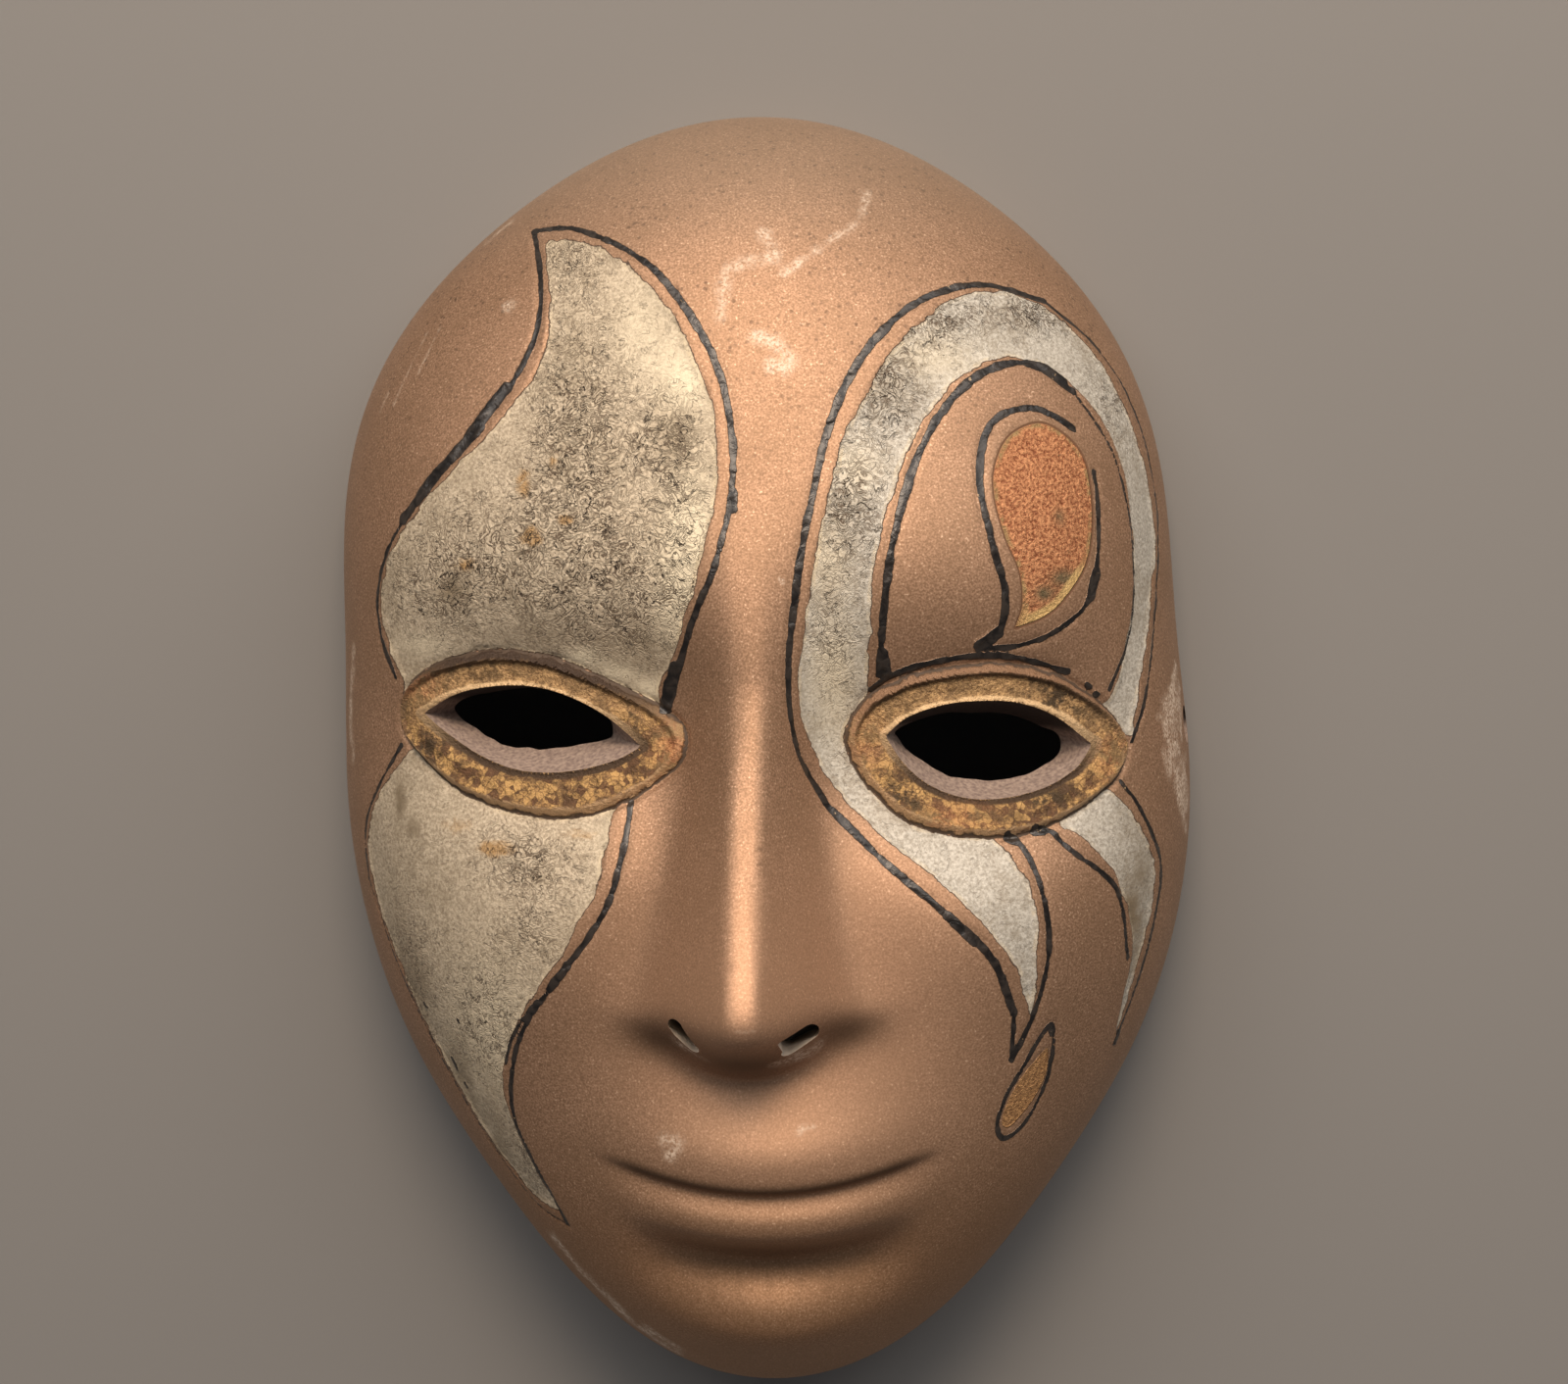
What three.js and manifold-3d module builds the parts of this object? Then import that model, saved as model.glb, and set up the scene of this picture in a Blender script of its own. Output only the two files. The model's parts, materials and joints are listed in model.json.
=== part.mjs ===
// Carnival face mask: one slip-cast ceramic shell that lies on its flat back rim.
// Millimetres, +X to the viewer's right, +Y to the crown, +Z out of the face.
// The origin is the middle of the outline, in the plane of the back rim.

import * as THREE from 'three';
import { mergeVertices } from 'three/addons/utils/BufferGeometryUtils.js';
import Module from 'manifold-3d';

const wasm = await Module();
wasm.setup();

// Shell
const HALF_HEIGHT = 110;
const DOME_DEPTH = 60;
const WALL = 5;
// distance from the centre to the rim every 22.5 degrees, from the crown down to the chin
const REACH = [HALF_HEIGHT, 103.5, 93, 78.5, 74, 77, 83.5, 97, HALF_HEIGHT];
const CROWN_LEAN = 1.3;      // how far the crown sways to the viewer's left
const JAW_LEAN = 0.8;        // how far the jaw sways to the viewer's right
const RIM_FADE = 0.82;       // share of the reach where the face starts to die into the side wall
// exponent of the dome's profile: how much fuller it is at the chin than at the crown
const FULLNESS = { side: 2.45, crown: 2.35, chin: 3.1 };

// Nose
const NOSE = {
  x: -0.5, sway: -1.3,       // the ridge wanders a little to the viewer's left
  bridgeY: 15, tipY: -38.5, baseY: -49,
  fadeAbove: -0.6, fadeBelow: 0.25, pastTip: 1.1,       // as shares of the ridge's length
  bridgeRise: 5, tipRise: 20, riseCurve: 1.3,
  bridgeHalfWidth: 9, wingHalfWidth: 18, widthCurve: 1.5,
  ridgeHalfWidth: 2.4, footRound: 0.16, ridgeRound: 0.06,
  underSlope: 2.3, underCurve: 0.03, underRound: 1.5, edgeSharpness: 5,
};
const NOSTRILS = [
  { x: -11, y: -38.7, turn: -50, length: 7.4 },
  { x: 6.6, y: -39.6, turn: 33, length: 6.8 },
];
const NOSTRIL_WIDTH = 2;

// Mouth and chin: ovals that fade outwards, and folds that bend with the smile
const MOUTH = { x: 1, y: -65.5, smile: 0.006 };
const MUZZLE = { x: 1, y: -64, halfWidth: 28, halfHeight: 18, rise: 8 };
const CHIN = { x: 1, y: -90, halfWidth: 19, halfHeight: 11, rise: 9 };
const MOUTH_FOLDS = [
  { name: 'line between the lips', above: 0, halfHeight: 1.5, fadeFrom: 19, fadeTo: 30, rise: -2.2 },
  { name: 'lower lip', above: -5, halfHeight: 3.6, fadeFrom: 10, fadeTo: 30, rise: 1.8 },
  { name: 'upper lip', above: 5, halfHeight: 4.5, fadeFrom: 6, fadeTo: 30, rise: 0.8 },
  { name: 'fold over the chin', above: -11.5, halfHeight: 4.5, fadeFrom: 12, fadeTo: 34, rise: -4.5 },
];

// Upper face, given for the viewer's right side and mirrored
const SOCKET = { towardNose: 3, halfWidth: 25, halfHeight: 17, edge: 1.4, depth: 6.5 };
const INNER_CORNER = { x: 15, y: 8, halfWidth: 8, halfHeight: 16, rise: -3 };
const CHEEKBONE = { x: 40, y: -30, halfWidth: 20, halfHeight: 16, rise: 2 };
const BROW = { x: 28, y: 36, halfWidth: 26, halfHeight: 14, rise: 1.5 };

// Eyes: a lens-shaped opening, wider in front than behind, inside a raised band
const BAND_PLUMP = 0.6;      // 0 is a pointed lens, 1 is an ellipse
const EYES = [
  {
    x: -36, y: 7.2, halfLength: 17.6, halfHeight: 7.6, tilt: -6,
    back: { x: 0.2, y: 1.4, halfLength: 12.3, halfHeight: 4.9 },
    band: { x: 1.2, y: -0.9, halfLength: 23, halfHeight: 12.4, plump: BAND_PLUMP },
  },
  {
    x: 37.5, y: 2.2, halfLength: 16.8, halfHeight: 8.2, tilt: 0,
    back: { x: -1.6, y: 1.1, halfLength: 13.2, halfHeight: 5.6 },
    band: { x: -0.8, y: 0.6, halfLength: 22.2, halfHeight: 12.9, plump: BAND_PLUMP },
  },
];
// from the band's outer foot to the opening: share of its width, and height above the face
const BAND_SECTION = [[0, -1.8], [0, 0.3], [0.18, 2], [0.4, 1.1], [0.72, 1.1], [0.9, 2]];
const OPENING_EDGE = 1.4;    // height above the face where an opening starts to narrow
const EYE_STEPS = 44;

// Holes for a ribbon at the temples
const TEMPLE = { y: 3.5, height: 16, diameter: 6.5, sides: 20, slope: 18 };

// Grid of each surface: spans across the middle of the face as [from, to, steps], and the steps
// down the side walls
const OUTER_GRID = {
  across: [[-60, -24, 7], [-24, -14, 4], [-14, 12, 12], [12, 24, 4], [24, 60, 7]],
  along: [[-98, MOUTH.y, 13], [MOUTH.y, -56, 5], [-56, -34, 9], [-34, 22, 11], [22, 94, 8]],
  wallSteps: 5,
};
const INNER_GRID = {
  across: [[-56, -20, 4], [-20, 20, 8], [20, 56, 4]],
  along: [[-92, -50, 6], [-50, -30, 4], [-30, 20, 7], [20, 88, 5]],
  wallSteps: 4,
};
const ROW_BEND = { halfWidth: 30, halfHeight: 14 };

const COPPER_BRONZE = { color: 0xb98a60, roughness: 0.5, metalness: 0.6 };

const TINY = 1e-4;
const square = (v) => v * v;
const bell = (d) => Math.exp(-d * d);
const clamp01 = (v) => Math.min(1, Math.max(0, v));
const softRamp = (v, w) => 0.5 * (v + Math.sqrt(v * v + w * w));
// 1 in the middle of an oval and less and less outwards
const oval = (x, y, o) => bell(Math.hypot((x - o.x) / o.halfWidth, (y - o.y) / o.halfHeight));

function smoothstep(from, to, v) {
  const t = clamp01((v - from) / (to - from));
  return t * t * (3 - 2 * t);
}

// the smaller of two heights above zero, with a rounded edge where they cross
function softMin(a, b, sharpness) {
  const sum = [a, b].reduce((s, height) => s + Math.pow(Math.max(height, TINY), -sharpness), 0);
  return Math.pow(sum, -1 / sharpness);
}

// Cosine series that runs through the REACH distances, so the outline is smooth
const SERIES = REACH.map((_, k) => {
  const last = REACH.length - 1;
  const half = (i) => (i === 0 || i === last ? 0.5 : 1);
  const sum = REACH.reduce((s, r, j) => s + half(j) * r * Math.cos((Math.PI * k * j) / last), 0);
  return (2 / last) * half(k) * sum;
});

// phi is 0 at the crown, half a turn at the chin
const rimReach = (phi) => SERIES.reduce((s, c, k) => s + c * Math.cos(k * phi), 0);
const sway = (y) => (y > 0 ? CROWN_LEAN : JAW_LEAN) * Math.sin((Math.PI * y) / HALF_HEIGHT);

function fullness(phi) {
  const up = Math.cos(phi);
  const { side, crown, chin: low } = FULLNESS;
  return up > 0 ? side + (crown - side) * up : side + (low - side) * square(up);
}

function dome(x, y) {
  const straight = x + sway(y);
  const phi = Math.atan2(straight, y);
  const share = clamp01(Math.hypot(straight, y) / rimReach(phi));
  const n = fullness(phi);
  return { share, z: DOME_DEPTH * Math.pow(1 - Math.pow(share, n), 1 / n) };
}

// a ridge with a flat top and plane sides, cut off below by a sloping crescent
function nose(x, y) {
  const n = NOSE;
  const t = (n.bridgeY - y) / (n.bridgeY - n.tipY);
  const down = Math.min(n.pastTip, Math.max(0, t));
  const across = Math.abs(x - n.x - n.sway * down);
  const bridge = n.bridgeRise * smoothstep(n.fadeAbove, n.fadeBelow, t);
  const ridge = bridge + n.tipRise * Math.pow(down, n.riseCurve);
  const half = n.bridgeHalfWidth + (n.wingHalfWidth - n.bridgeHalfWidth) * Math.pow(down, n.widthCurve);
  const slope = (half - across) / (half - n.ridgeHalfWidth);
  const side = ridge * (softRamp(slope, n.footRound) - softRamp(slope - 1, n.ridgeRound));
  const under = softRamp(n.underSlope * (y - n.baseY - n.underCurve * square(across)), n.underRound);
  return softMin(side, under, n.edgeSharpness);
}

// a soft muzzle with a thin mouth line, a rolled lower lip and the fold below it
function mouth(x, y) {
  const across = Math.abs(x - MOUTH.x);
  const above = y - (MOUTH.y + MOUTH.smile * square(across));
  const folds = MOUTH_FOLDS.map((fold) => (
    fold.rise * smoothstep(fold.fadeTo, fold.fadeFrom, across) * bell((above - fold.above) / fold.halfHeight)
  ));
  return MUZZLE.rise * oval(x, y, MUZZLE) + folds.reduce((sum, height) => sum + height, 0);
}

// hollows round the eyes, with the brow above and the cheekbone below each
function upperFace(x, y) {
  let z = 0;
  for (const eye of EYES) {
    const side = Math.sign(eye.x);
    const middle = eye.x - side * SOCKET.towardNose;
    const fromMiddle = Math.hypot((x - middle) / SOCKET.halfWidth, (y - eye.y) / SOCKET.halfHeight);
    z -= SOCKET.depth * bell(Math.pow(fromMiddle, SOCKET.edge));
    for (const part of [INNER_CORNER, CHEEKBONE, BROW]) z += part.rise * oval(side * x, y, part);
  }
  return z;
}

function outerHeight(x, y) {
  const { share, z } = dome(x, y);
  const face = nose(x, y) + mouth(x, y) + CHIN.rise * oval(x, y, CHIN) + upperFace(x, y);
  return z + face * smoothstep(1, RIM_FADE, share);
}

// Directions of a ball's upper half, which rolls inside the shell to give an even wall
const BALL_RISES = [0, 20, 40, 60, 75];
const BALL_TURNS = 12;
const BALL = [new THREE.Vector3(0, 0, 1)];
for (const rise of BALL_RISES) {
  for (let k = 0; k < BALL_TURNS; k += 1) {
    const fromPole = THREE.MathUtils.degToRad(90 - rise);
    const direction = new THREE.Vector3(0, 0, 1).applyAxisAngle(new THREE.Vector3(1, 0, 0), fromPole);
    BALL.push(direction.applyAxisAngle(new THREE.Vector3(0, 0, 1), (2 * Math.PI * k) / BALL_TURNS));
  }
}
const innerHeight = (x, y) => Math.min(
  ...BALL.map((d) => outerHeight(x + WALL * d.x, y + WALL * d.y) - WALL * d.z),
);

// Grid lines as shares of a quarter turn: the spans say where they cross the middle of the face,
// and evenly turned steps follow down both side walls to the rim
function gridLines(spans, wallSteps, reach, phiLow, phiHigh) {
  const places = [spans[0][0]];
  for (const [from, to, count] of spans) {
    for (let i = 1; i <= count; i += 1) places.push(from + ((to - from) * i) / count);
  }
  const face = places.map((v) => {
    const n = fullness(v < 0 ? phiLow : phiHigh);
    return (Math.sign(v) * Math.asin(Math.pow(Math.abs(v) / reach, n / 2))) / (Math.PI / 2);
  });
  const low = face[0];
  const high = face[face.length - 1];
  const steps = Array.from({ length: wallSteps }, (_, i) => i / wallSteps);
  return [
    ...steps.map((s) => -1 + (low + 1) * s),
    ...face,
    ...steps.map((s) => 1 - (1 - high) * s).reverse(),
  ];
}

// Square grid stretched over the dome: u and v from -1 to 1, the square's edge on the rim
function onDome(u, v, inset) {
  const across = u * Math.sqrt(1 - (v * v) / 2);
  const along = v * Math.sqrt(1 - (u * u) / 2);
  const phi = Math.atan2(across, along);
  const part = Math.min(1, Math.hypot(across, along));
  const share = Math.pow(Math.sin((part * Math.PI) / 2), 2 / fullness(phi));
  const r = (rimReach(phi) - inset) * share;
  const y = r * Math.cos(phi);
  const x = r * Math.sin(phi) - sway(y);
  // rows bend with the smile, so that the mouth line runs along one of them
  const smile = MOUTH.smile * square(Math.min(ROW_BEND.halfWidth, Math.abs(x - MOUTH.x)));
  const bend = bell((y - MOUTH.y) / ROW_BEND.halfHeight) * smoothstep(1, RIM_FADE, share);
  return { x, y: y + smile * bend };
}

// Closed cap: the grid above and a fan below it, at the height of its edge
function cap(us, vs, inset, heightAt, edgeZ) {
  const position = [];
  const index = [];
  const at = (i, j) => j * us.length + i;
  vs.forEach((v, j) => us.forEach((u, i) => {
    const edge = i === 0 || j === 0 || i === us.length - 1 || j === vs.length - 1;
    const p = onDome(u, v, inset);
    position.push(p.x, p.y, edge ? edgeZ : heightAt(p.x, p.y));
  }));
  for (let j = 0; j < vs.length - 1; j += 1) {
    for (let i = 0; i < us.length - 1; i += 1) {
      const [a, b, c, d] = [at(i, j), at(i + 1, j), at(i + 1, j + 1), at(i, j + 1)];
      // the diagonal leans the same way on both sides of the face
      if ((us[i] + us[i + 1]) * (vs[j] + vs[j + 1]) < 0) index.push(a, b, d, b, c, d);
      else index.push(a, b, c, a, c, d);
    }
  }
  const loop = [];
  for (let i = 0; i < us.length - 1; i += 1) loop.push(at(i, 0));
  for (let j = 0; j < vs.length - 1; j += 1) loop.push(at(us.length - 1, j));
  for (let i = us.length - 1; i > 0; i -= 1) loop.push(at(i, vs.length - 1));
  for (let j = vs.length - 1; j > 0; j -= 1) loop.push(at(0, j));
  const middle = position.length / 3;
  position.push(0, 0, edgeZ);
  loop.forEach((a, k) => index.push(middle, loop[(k + 1) % loop.length], a));
  return solid(position, index);
}

function solid(position, index) {
  return new wasm.Manifold(new wasm.Mesh({
    numProp: 3,
    vertProperties: new Float32Array(position),
    triVerts: new Uint32Array(index),
  }));
}

function solidOf(geometry) {
  geometry.deleteAttribute('normal');
  geometry.deleteAttribute('uv');
  const merged = mergeVertices(geometry);
  return solid(Array.from(merged.attributes.position.array), Array.from(merged.index.array));
}

// Outline of an eye shape, walked once round: two arcs that meet at the tips, or for the band
// halfway between those arcs and an ellipse
function lensLoop(eye, part) {
  const { halfLength, halfHeight, plump = 0 } = part;
  const shiftX = part === eye ? 0 : part.x;
  const shiftY = part === eye ? 0 : part.y;
  const tilt = THREE.MathUtils.degToRad(eye.tilt);
  const drop = (square(halfLength) - square(halfHeight)) / (2 * halfHeight);
  const radius = halfHeight + drop;
  const loop = [];
  for (let k = 0; k < EYE_STEPS; k += 1) {
    const turn = (2 * Math.PI * (k + 0.5)) / EYE_STEPS;
    const along = halfLength * Math.cos(turn);
    const pointed = Math.sqrt(square(radius) - square(along)) - drop;
    const oval = halfHeight * Math.abs(Math.sin(turn));
    const arc = pointed + (oval - pointed) * plump;
    const u = along + shiftX;
    const v = Math.sign(Math.sin(turn)) * arc + shiftY;
    loop.push({
      x: eye.x + u * Math.cos(tilt) - v * Math.sin(tilt),
      y: eye.y + u * Math.sin(tilt) + v * Math.cos(tilt),
    });
  }
  return loop;
}

// Loops of equal count joined into one closed body, the first and last loop capped by a fan
function stack(loops) {
  const count = loops[0].length;
  const position = loops.flat().flatMap((p) => [p.x, p.y, p.z]);
  const index = [];
  for (let r = 0; r < loops.length - 1; r += 1) {
    for (let k = 0; k < count; k += 1) {
      const a = r * count + k;
      const b = r * count + ((k + 1) % count);
      index.push(a, b, b + count, a, b + count, a + count);
    }
  }
  for (const [r, flip] of [[0, true], [loops.length - 1, false]]) {
    const middle = position.length / 3;
    const mean = (axis) => loops[r].reduce((s, p) => s + p[axis], 0) / count;
    position.push(mean('x'), mean('y'), mean('z'));
    for (let k = 0; k < count; k += 1) {
      const [a, b] = [r * count + k, r * count + ((k + 1) % count)];
      index.push(middle, flip ? b : a, flip ? a : b);
    }
  }
  return solid(position, index);
}

const lift = (loop, height) => loop.map((p) => ({ ...p, z: outerHeight(p.x, p.y) + height }));
const blendLoops = (from, to, t) => from.map((p, k) => ({
  x: p.x + (to[k].x - p.x) * t,
  y: p.y + (to[k].y - p.y) * t,
}));

// Raised band of one eye: outer foot, outer ridge, channel, inner ridge
function eyeBand(eye) {
  const outer = lensLoop(eye, eye.band);
  const inner = lensLoop(eye, eye);
  return stack(BAND_SECTION.map(([share, height]) => lift(blendLoops(outer, inner, share), height)));
}

// Cutter of one eye: as wide as the front opening down to the face, then narrowing through the wall
function eyeCutter(eye) {
  const front = lensLoop(eye, eye);
  const back = lensLoop(eye, eye.back);
  return stack([
    lift(back, -4 * WALL),
    lift(back, -WALL),
    lift(front, OPENING_EDGE),
    lift(front, 3 * WALL),
  ]);
}

// a slot that runs straight back from the underside of the nose
function nostrilCutter({ x, y, turn, length }) {
  const slot = new THREE.Shape();
  const run = length / 2 - NOSTRIL_WIDTH / 2;
  slot.absarc(run, 0, NOSTRIL_WIDTH / 2, -Math.PI / 2, Math.PI / 2, false);
  slot.absarc(-run, 0, NOSTRIL_WIDTH / 2, Math.PI / 2, (3 * Math.PI) / 2, false);
  const depth = 6 * WALL;
  const body = new THREE.ExtrudeGeometry(slot, { depth, curveSegments: 6, bevelEnabled: false });
  body.rotateZ(THREE.MathUtils.degToRad(turn));
  body.translate(x, y, outerHeight(x, y) - depth / 2);
  return solidOf(body);
}

// a round hole through the side wall, square to its slope
function templeCutter(side) {
  const radius = TEMPLE.diameter / 2;
  const body = new THREE.CylinderGeometry(radius, radius, 8 * WALL, TEMPLE.sides);
  body.rotateZ(-side * (Math.PI / 2 - THREE.MathUtils.degToRad(TEMPLE.slope)));
  body.translate(side * rimReach(Math.PI / 2) - sway(TEMPLE.y), TEMPLE.y, TEMPLE.height);
  return solidOf(body);
}

// One surface of the shell as a closed cap that reaches down to edgeZ
function surfaceCap(grid, inset, heightAt, edgeZ) {
  const sideways = Math.PI / 2;
  const columns = gridLines(grid.across, grid.wallSteps, rimReach(sideways), sideways, sideways);
  const rows = gridLines(grid.along, grid.wallSteps, HALF_HEIGHT, Math.PI, 0);
  return cap(columns, rows, inset, heightAt, edgeZ);
}

function maskShell() {
  let body = surfaceCap(OUTER_GRID, 0, outerHeight, 0);
  for (const eye of EYES) body = body.add(eyeBand(eye));
  body = body.subtract(surfaceCap(INNER_GRID, WALL, innerHeight, -1));
  for (const eye of EYES) body = body.subtract(eyeCutter(eye));
  for (const nostril of NOSTRILS) body = body.subtract(nostrilCutter(nostril));
  for (const side of [-1, 1]) body = body.subtract(templeCutter(side));

  const { vertProperties, triVerts } = body.getMesh();
  const geometry = new THREE.BufferGeometry();
  geometry.setAttribute('position', new THREE.BufferAttribute(vertProperties, 3));
  geometry.setIndex(new THREE.BufferAttribute(triVerts, 1));
  geometry.computeVertexNormals();
  return geometry;
}

const mask = new THREE.Group();
const shell = new THREE.Mesh(maskShell(), new THREE.MeshStandardMaterial(COPPER_BRONZE));
shell.name = 'mask_shell';
mask.add(shell);

export default mask;
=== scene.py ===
# %% [markdown]
# A painted carnival mask
#
# The mask is a slip-cast ceramic shell: liquid clay is poured into a plaster mould, and what sticks
# to the mould is the wall. It is sprayed a matt copper bronze, and then finished by hand: fields of
# crackle paint, lines cut into the clay and filled with glossy black, and a gilded band round each
# eye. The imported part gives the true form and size, and this script gives it a finer surface.

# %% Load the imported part
import json

import bpy
import numpy as np
from mathutils import Matrix

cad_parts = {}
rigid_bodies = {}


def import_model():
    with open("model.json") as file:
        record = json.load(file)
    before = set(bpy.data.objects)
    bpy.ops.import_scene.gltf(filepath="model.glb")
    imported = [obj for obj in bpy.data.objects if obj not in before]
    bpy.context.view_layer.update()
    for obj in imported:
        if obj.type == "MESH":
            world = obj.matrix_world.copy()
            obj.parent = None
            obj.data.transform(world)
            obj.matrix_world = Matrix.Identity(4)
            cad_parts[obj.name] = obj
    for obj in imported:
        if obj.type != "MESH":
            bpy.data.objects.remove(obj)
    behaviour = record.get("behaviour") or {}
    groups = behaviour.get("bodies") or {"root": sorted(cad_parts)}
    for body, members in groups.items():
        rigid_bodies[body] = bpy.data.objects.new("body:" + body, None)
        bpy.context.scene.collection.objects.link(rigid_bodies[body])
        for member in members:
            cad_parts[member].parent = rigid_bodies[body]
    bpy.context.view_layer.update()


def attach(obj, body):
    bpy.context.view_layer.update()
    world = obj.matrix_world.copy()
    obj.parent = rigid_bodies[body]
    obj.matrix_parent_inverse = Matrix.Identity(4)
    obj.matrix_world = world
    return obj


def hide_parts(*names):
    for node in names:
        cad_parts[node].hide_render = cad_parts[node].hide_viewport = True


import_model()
MM = 0.001

# %% [markdown]
# Small curves that everything else is made of. A bell is a soft bump, a step is a soft edge, and a
# noise is a smooth random height that is the same each time, because it is worked out from the
# place itself and not drawn from a random generator.

# %% Bumps, steps and noise
def bell(d):
    """1 at the middle, falling as e to the minus d squared."""
    return np.exp(-d * d)


def step(start, end, v):
    """0 before start, 1 after end, and 3t^2 - 2t^3 between them."""
    t = np.clip((v - start) / (end - start), 0, 1)
    return t * t * (3 - 2 * t)


def scatter(cell, seed):
    """A number from 0 to 1 for each whole-numbered cell, by mixing the bits of its three indices."""
    i, j, k = cell.astype(np.int64).astype(np.uint32).T
    h = i * np.uint32(374761393) + j * np.uint32(668265263) + k * np.uint32(2246822519)
    h = (h + np.uint32(seed * 974711)).astype(np.uint32)
    h = (h ^ (h >> np.uint32(13))) * np.uint32(1274126177)
    return ((h ^ (h >> np.uint32(16))) & np.uint32(0xFFFFFF)) / 0xFFFFFF


def noise(points, size, seed=0):
    """Smooth random heights from 0 to 1: each lattice cell of that size blends its eight corners."""
    place = points / size
    low = np.floor(place)
    t = place - low
    t = t * t * (3 - 2 * t)
    total = 0
    for corner in np.ndindex(2, 2, 2):
        side = np.array(corner)
        weight = np.prod(np.where(side, t, 1 - t), axis=1)
        total = total + weight * scatter(low + side, seed)
    return total


print("noise at the origin:", noise(np.zeros((1, 3)), 1.0))

# %% [markdown]
# The form of the face. Each value below is a real size in millimetres. The shell is a dome over an
# egg-shaped outline, and the nose, mouth, chin, eye hollows and brow are added to it as heights.
# The origin is in the plane of the back rim, with +Y to the crown and +Z out of the face.

# %% Sizes of the shell
HALF_HEIGHT = 110
DOME_DEPTH = 60
WALL = 5
REACH = [HALF_HEIGHT, 103.5, 93, 78.5, 74, 77, 83.5, 97, HALF_HEIGHT]
CROWN_LEAN = 1.3
JAW_LEAN = 0.8
RIM_FADE = 0.82
FULL_SIDE, FULL_CROWN, FULL_CHIN = 2.45, 2.35, 3.1


def outline_series(reach):
    """Cosine series through distances given at even turns from crown to chin."""
    last = len(reach) - 1
    k, j = np.meshgrid(np.arange(last + 1), np.arange(last + 1), indexing="ij")
    half = np.ones(last + 1)
    half[[0, last]] = 0.5
    return 2 / last * half * (np.cos(np.pi * k * j / last) @ (half * np.array(reach)))


SERIES = outline_series(REACH)
print("cosines of the outline, mm:", np.round(SERIES, 2))


def rim_reach(phi):
    """Distance from the middle to the rim: the sum of the series' cosines."""
    return sum(c * np.cos(k * phi) for k, c in enumerate(SERIES))


def sway(y):
    """How far the middle line leans sideways: a sine wave from chin to crown."""
    return np.where(y > 0, CROWN_LEAN, JAW_LEAN) * np.sin(np.pi * y / HALF_HEIGHT)


def fullness(phi):
    """Exponent of the dome's profile, which is boxier at the chin."""
    up = np.cos(phi)
    crown = FULL_SIDE + (FULL_CROWN - FULL_SIDE) * up
    chin = FULL_SIDE + (FULL_CHIN - FULL_SIDE) * up * up
    return np.where(up > 0, crown, chin)


def dome(x, y):
    """Share of the way to the rim, and height: depth times (1 - share^n)^(1/n)."""
    straight = x + sway(y)
    phi = np.arctan2(straight, y)
    share = np.clip(np.hypot(straight, y) / rim_reach(phi), 0, 1)
    n = fullness(phi)
    return share, DOME_DEPTH * (1 - share**n) ** (1 / n)


print("width at the middle, mm:", round(2 * float(rim_reach(np.pi / 2)), 1))

# %% Nose, mouth, chin and upper face
NOSE_X, NOSE_SWAY = -0.5, -1.3
BRIDGE_Y, TIP_Y, BASE_Y = 15, -38.5, -47.2
BRIDGE_RISE, TIP_RISE = 5, 20
BRIDGE_HALF, WING_HALF, RIDGE_HALF = 9, 18, 2.4
# x, y, half width, half height and rise of soft ovals
MUZZLE = (1, -64, 28, 18, 8)
CHIN = (1, -91, 21, 12, 7.2)
INNER_CORNER = (15, 8, 8, 16, -3)
CHEEKBONE = (40, -30, 20, 16, 2)
BROW = (28, 36, 26, 14, 1.5)
EYE_MIDDLES = ((-36, 7.2), (37.5, 2.2))
SOCKET = (3, 25, 17, 1.4, 6.5)
# height over the mouth line, half height, where it starts and ends to fade, and rise
MOUTH_X, MOUTH_Y, SMILE = 1, -65.5, 0.006
LIPS = ((-5.3, 4.2, 10, 30, 1.9), (5, 4.5, 6, 30, 0.8))
# depth, where the drop starts and ends below the line, how soon it comes back, and its half width
DROPS = ((1.7, 1.0, -0.8, 4.2, 32), (4.8, -7.0, -13.2, 7.0, 26))


def oval(x, y, shape):
    """A soft oval hill: its rise times a bell of the distance in half widths and half heights."""
    middle_x, middle_y, half_width, half_height, rise = shape
    return rise * bell(np.hypot((x - middle_x) / half_width, (y - middle_y) / half_height))


def soft_ramp(v, w):
    """v where it is above zero and 0 below, with the corner rounded over w."""
    return 0.5 * (v + np.sqrt(v * v + w * w))


def nose(x, y):
    """A ridge with plane sides, cut off below by a sloping crescent; the lower of both, softly."""
    t = (BRIDGE_Y - y) / (BRIDGE_Y - TIP_Y)
    down = np.clip(t, 0, 1.1)
    across = np.abs(x - NOSE_X - NOSE_SWAY * down)
    ridge = BRIDGE_RISE * step(-0.6, 0.25, t) + TIP_RISE * down**1.3
    half = BRIDGE_HALF + (WING_HALF - BRIDGE_HALF) * down**1.5
    slope = (half - across) / (half - RIDGE_HALF)
    side = ridge * (soft_ramp(slope, 0.22) - soft_ramp(slope - 1, 0.06))
    steep = 0.6 + 1.9 * bell(across / 11)
    under = soft_ramp(steep * (y - BASE_Y - 0.022 * across**2), 2.2)
    return (np.maximum(side, 1e-4) ** -5 + np.maximum(under, 1e-4) ** -5) ** -0.2


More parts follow.
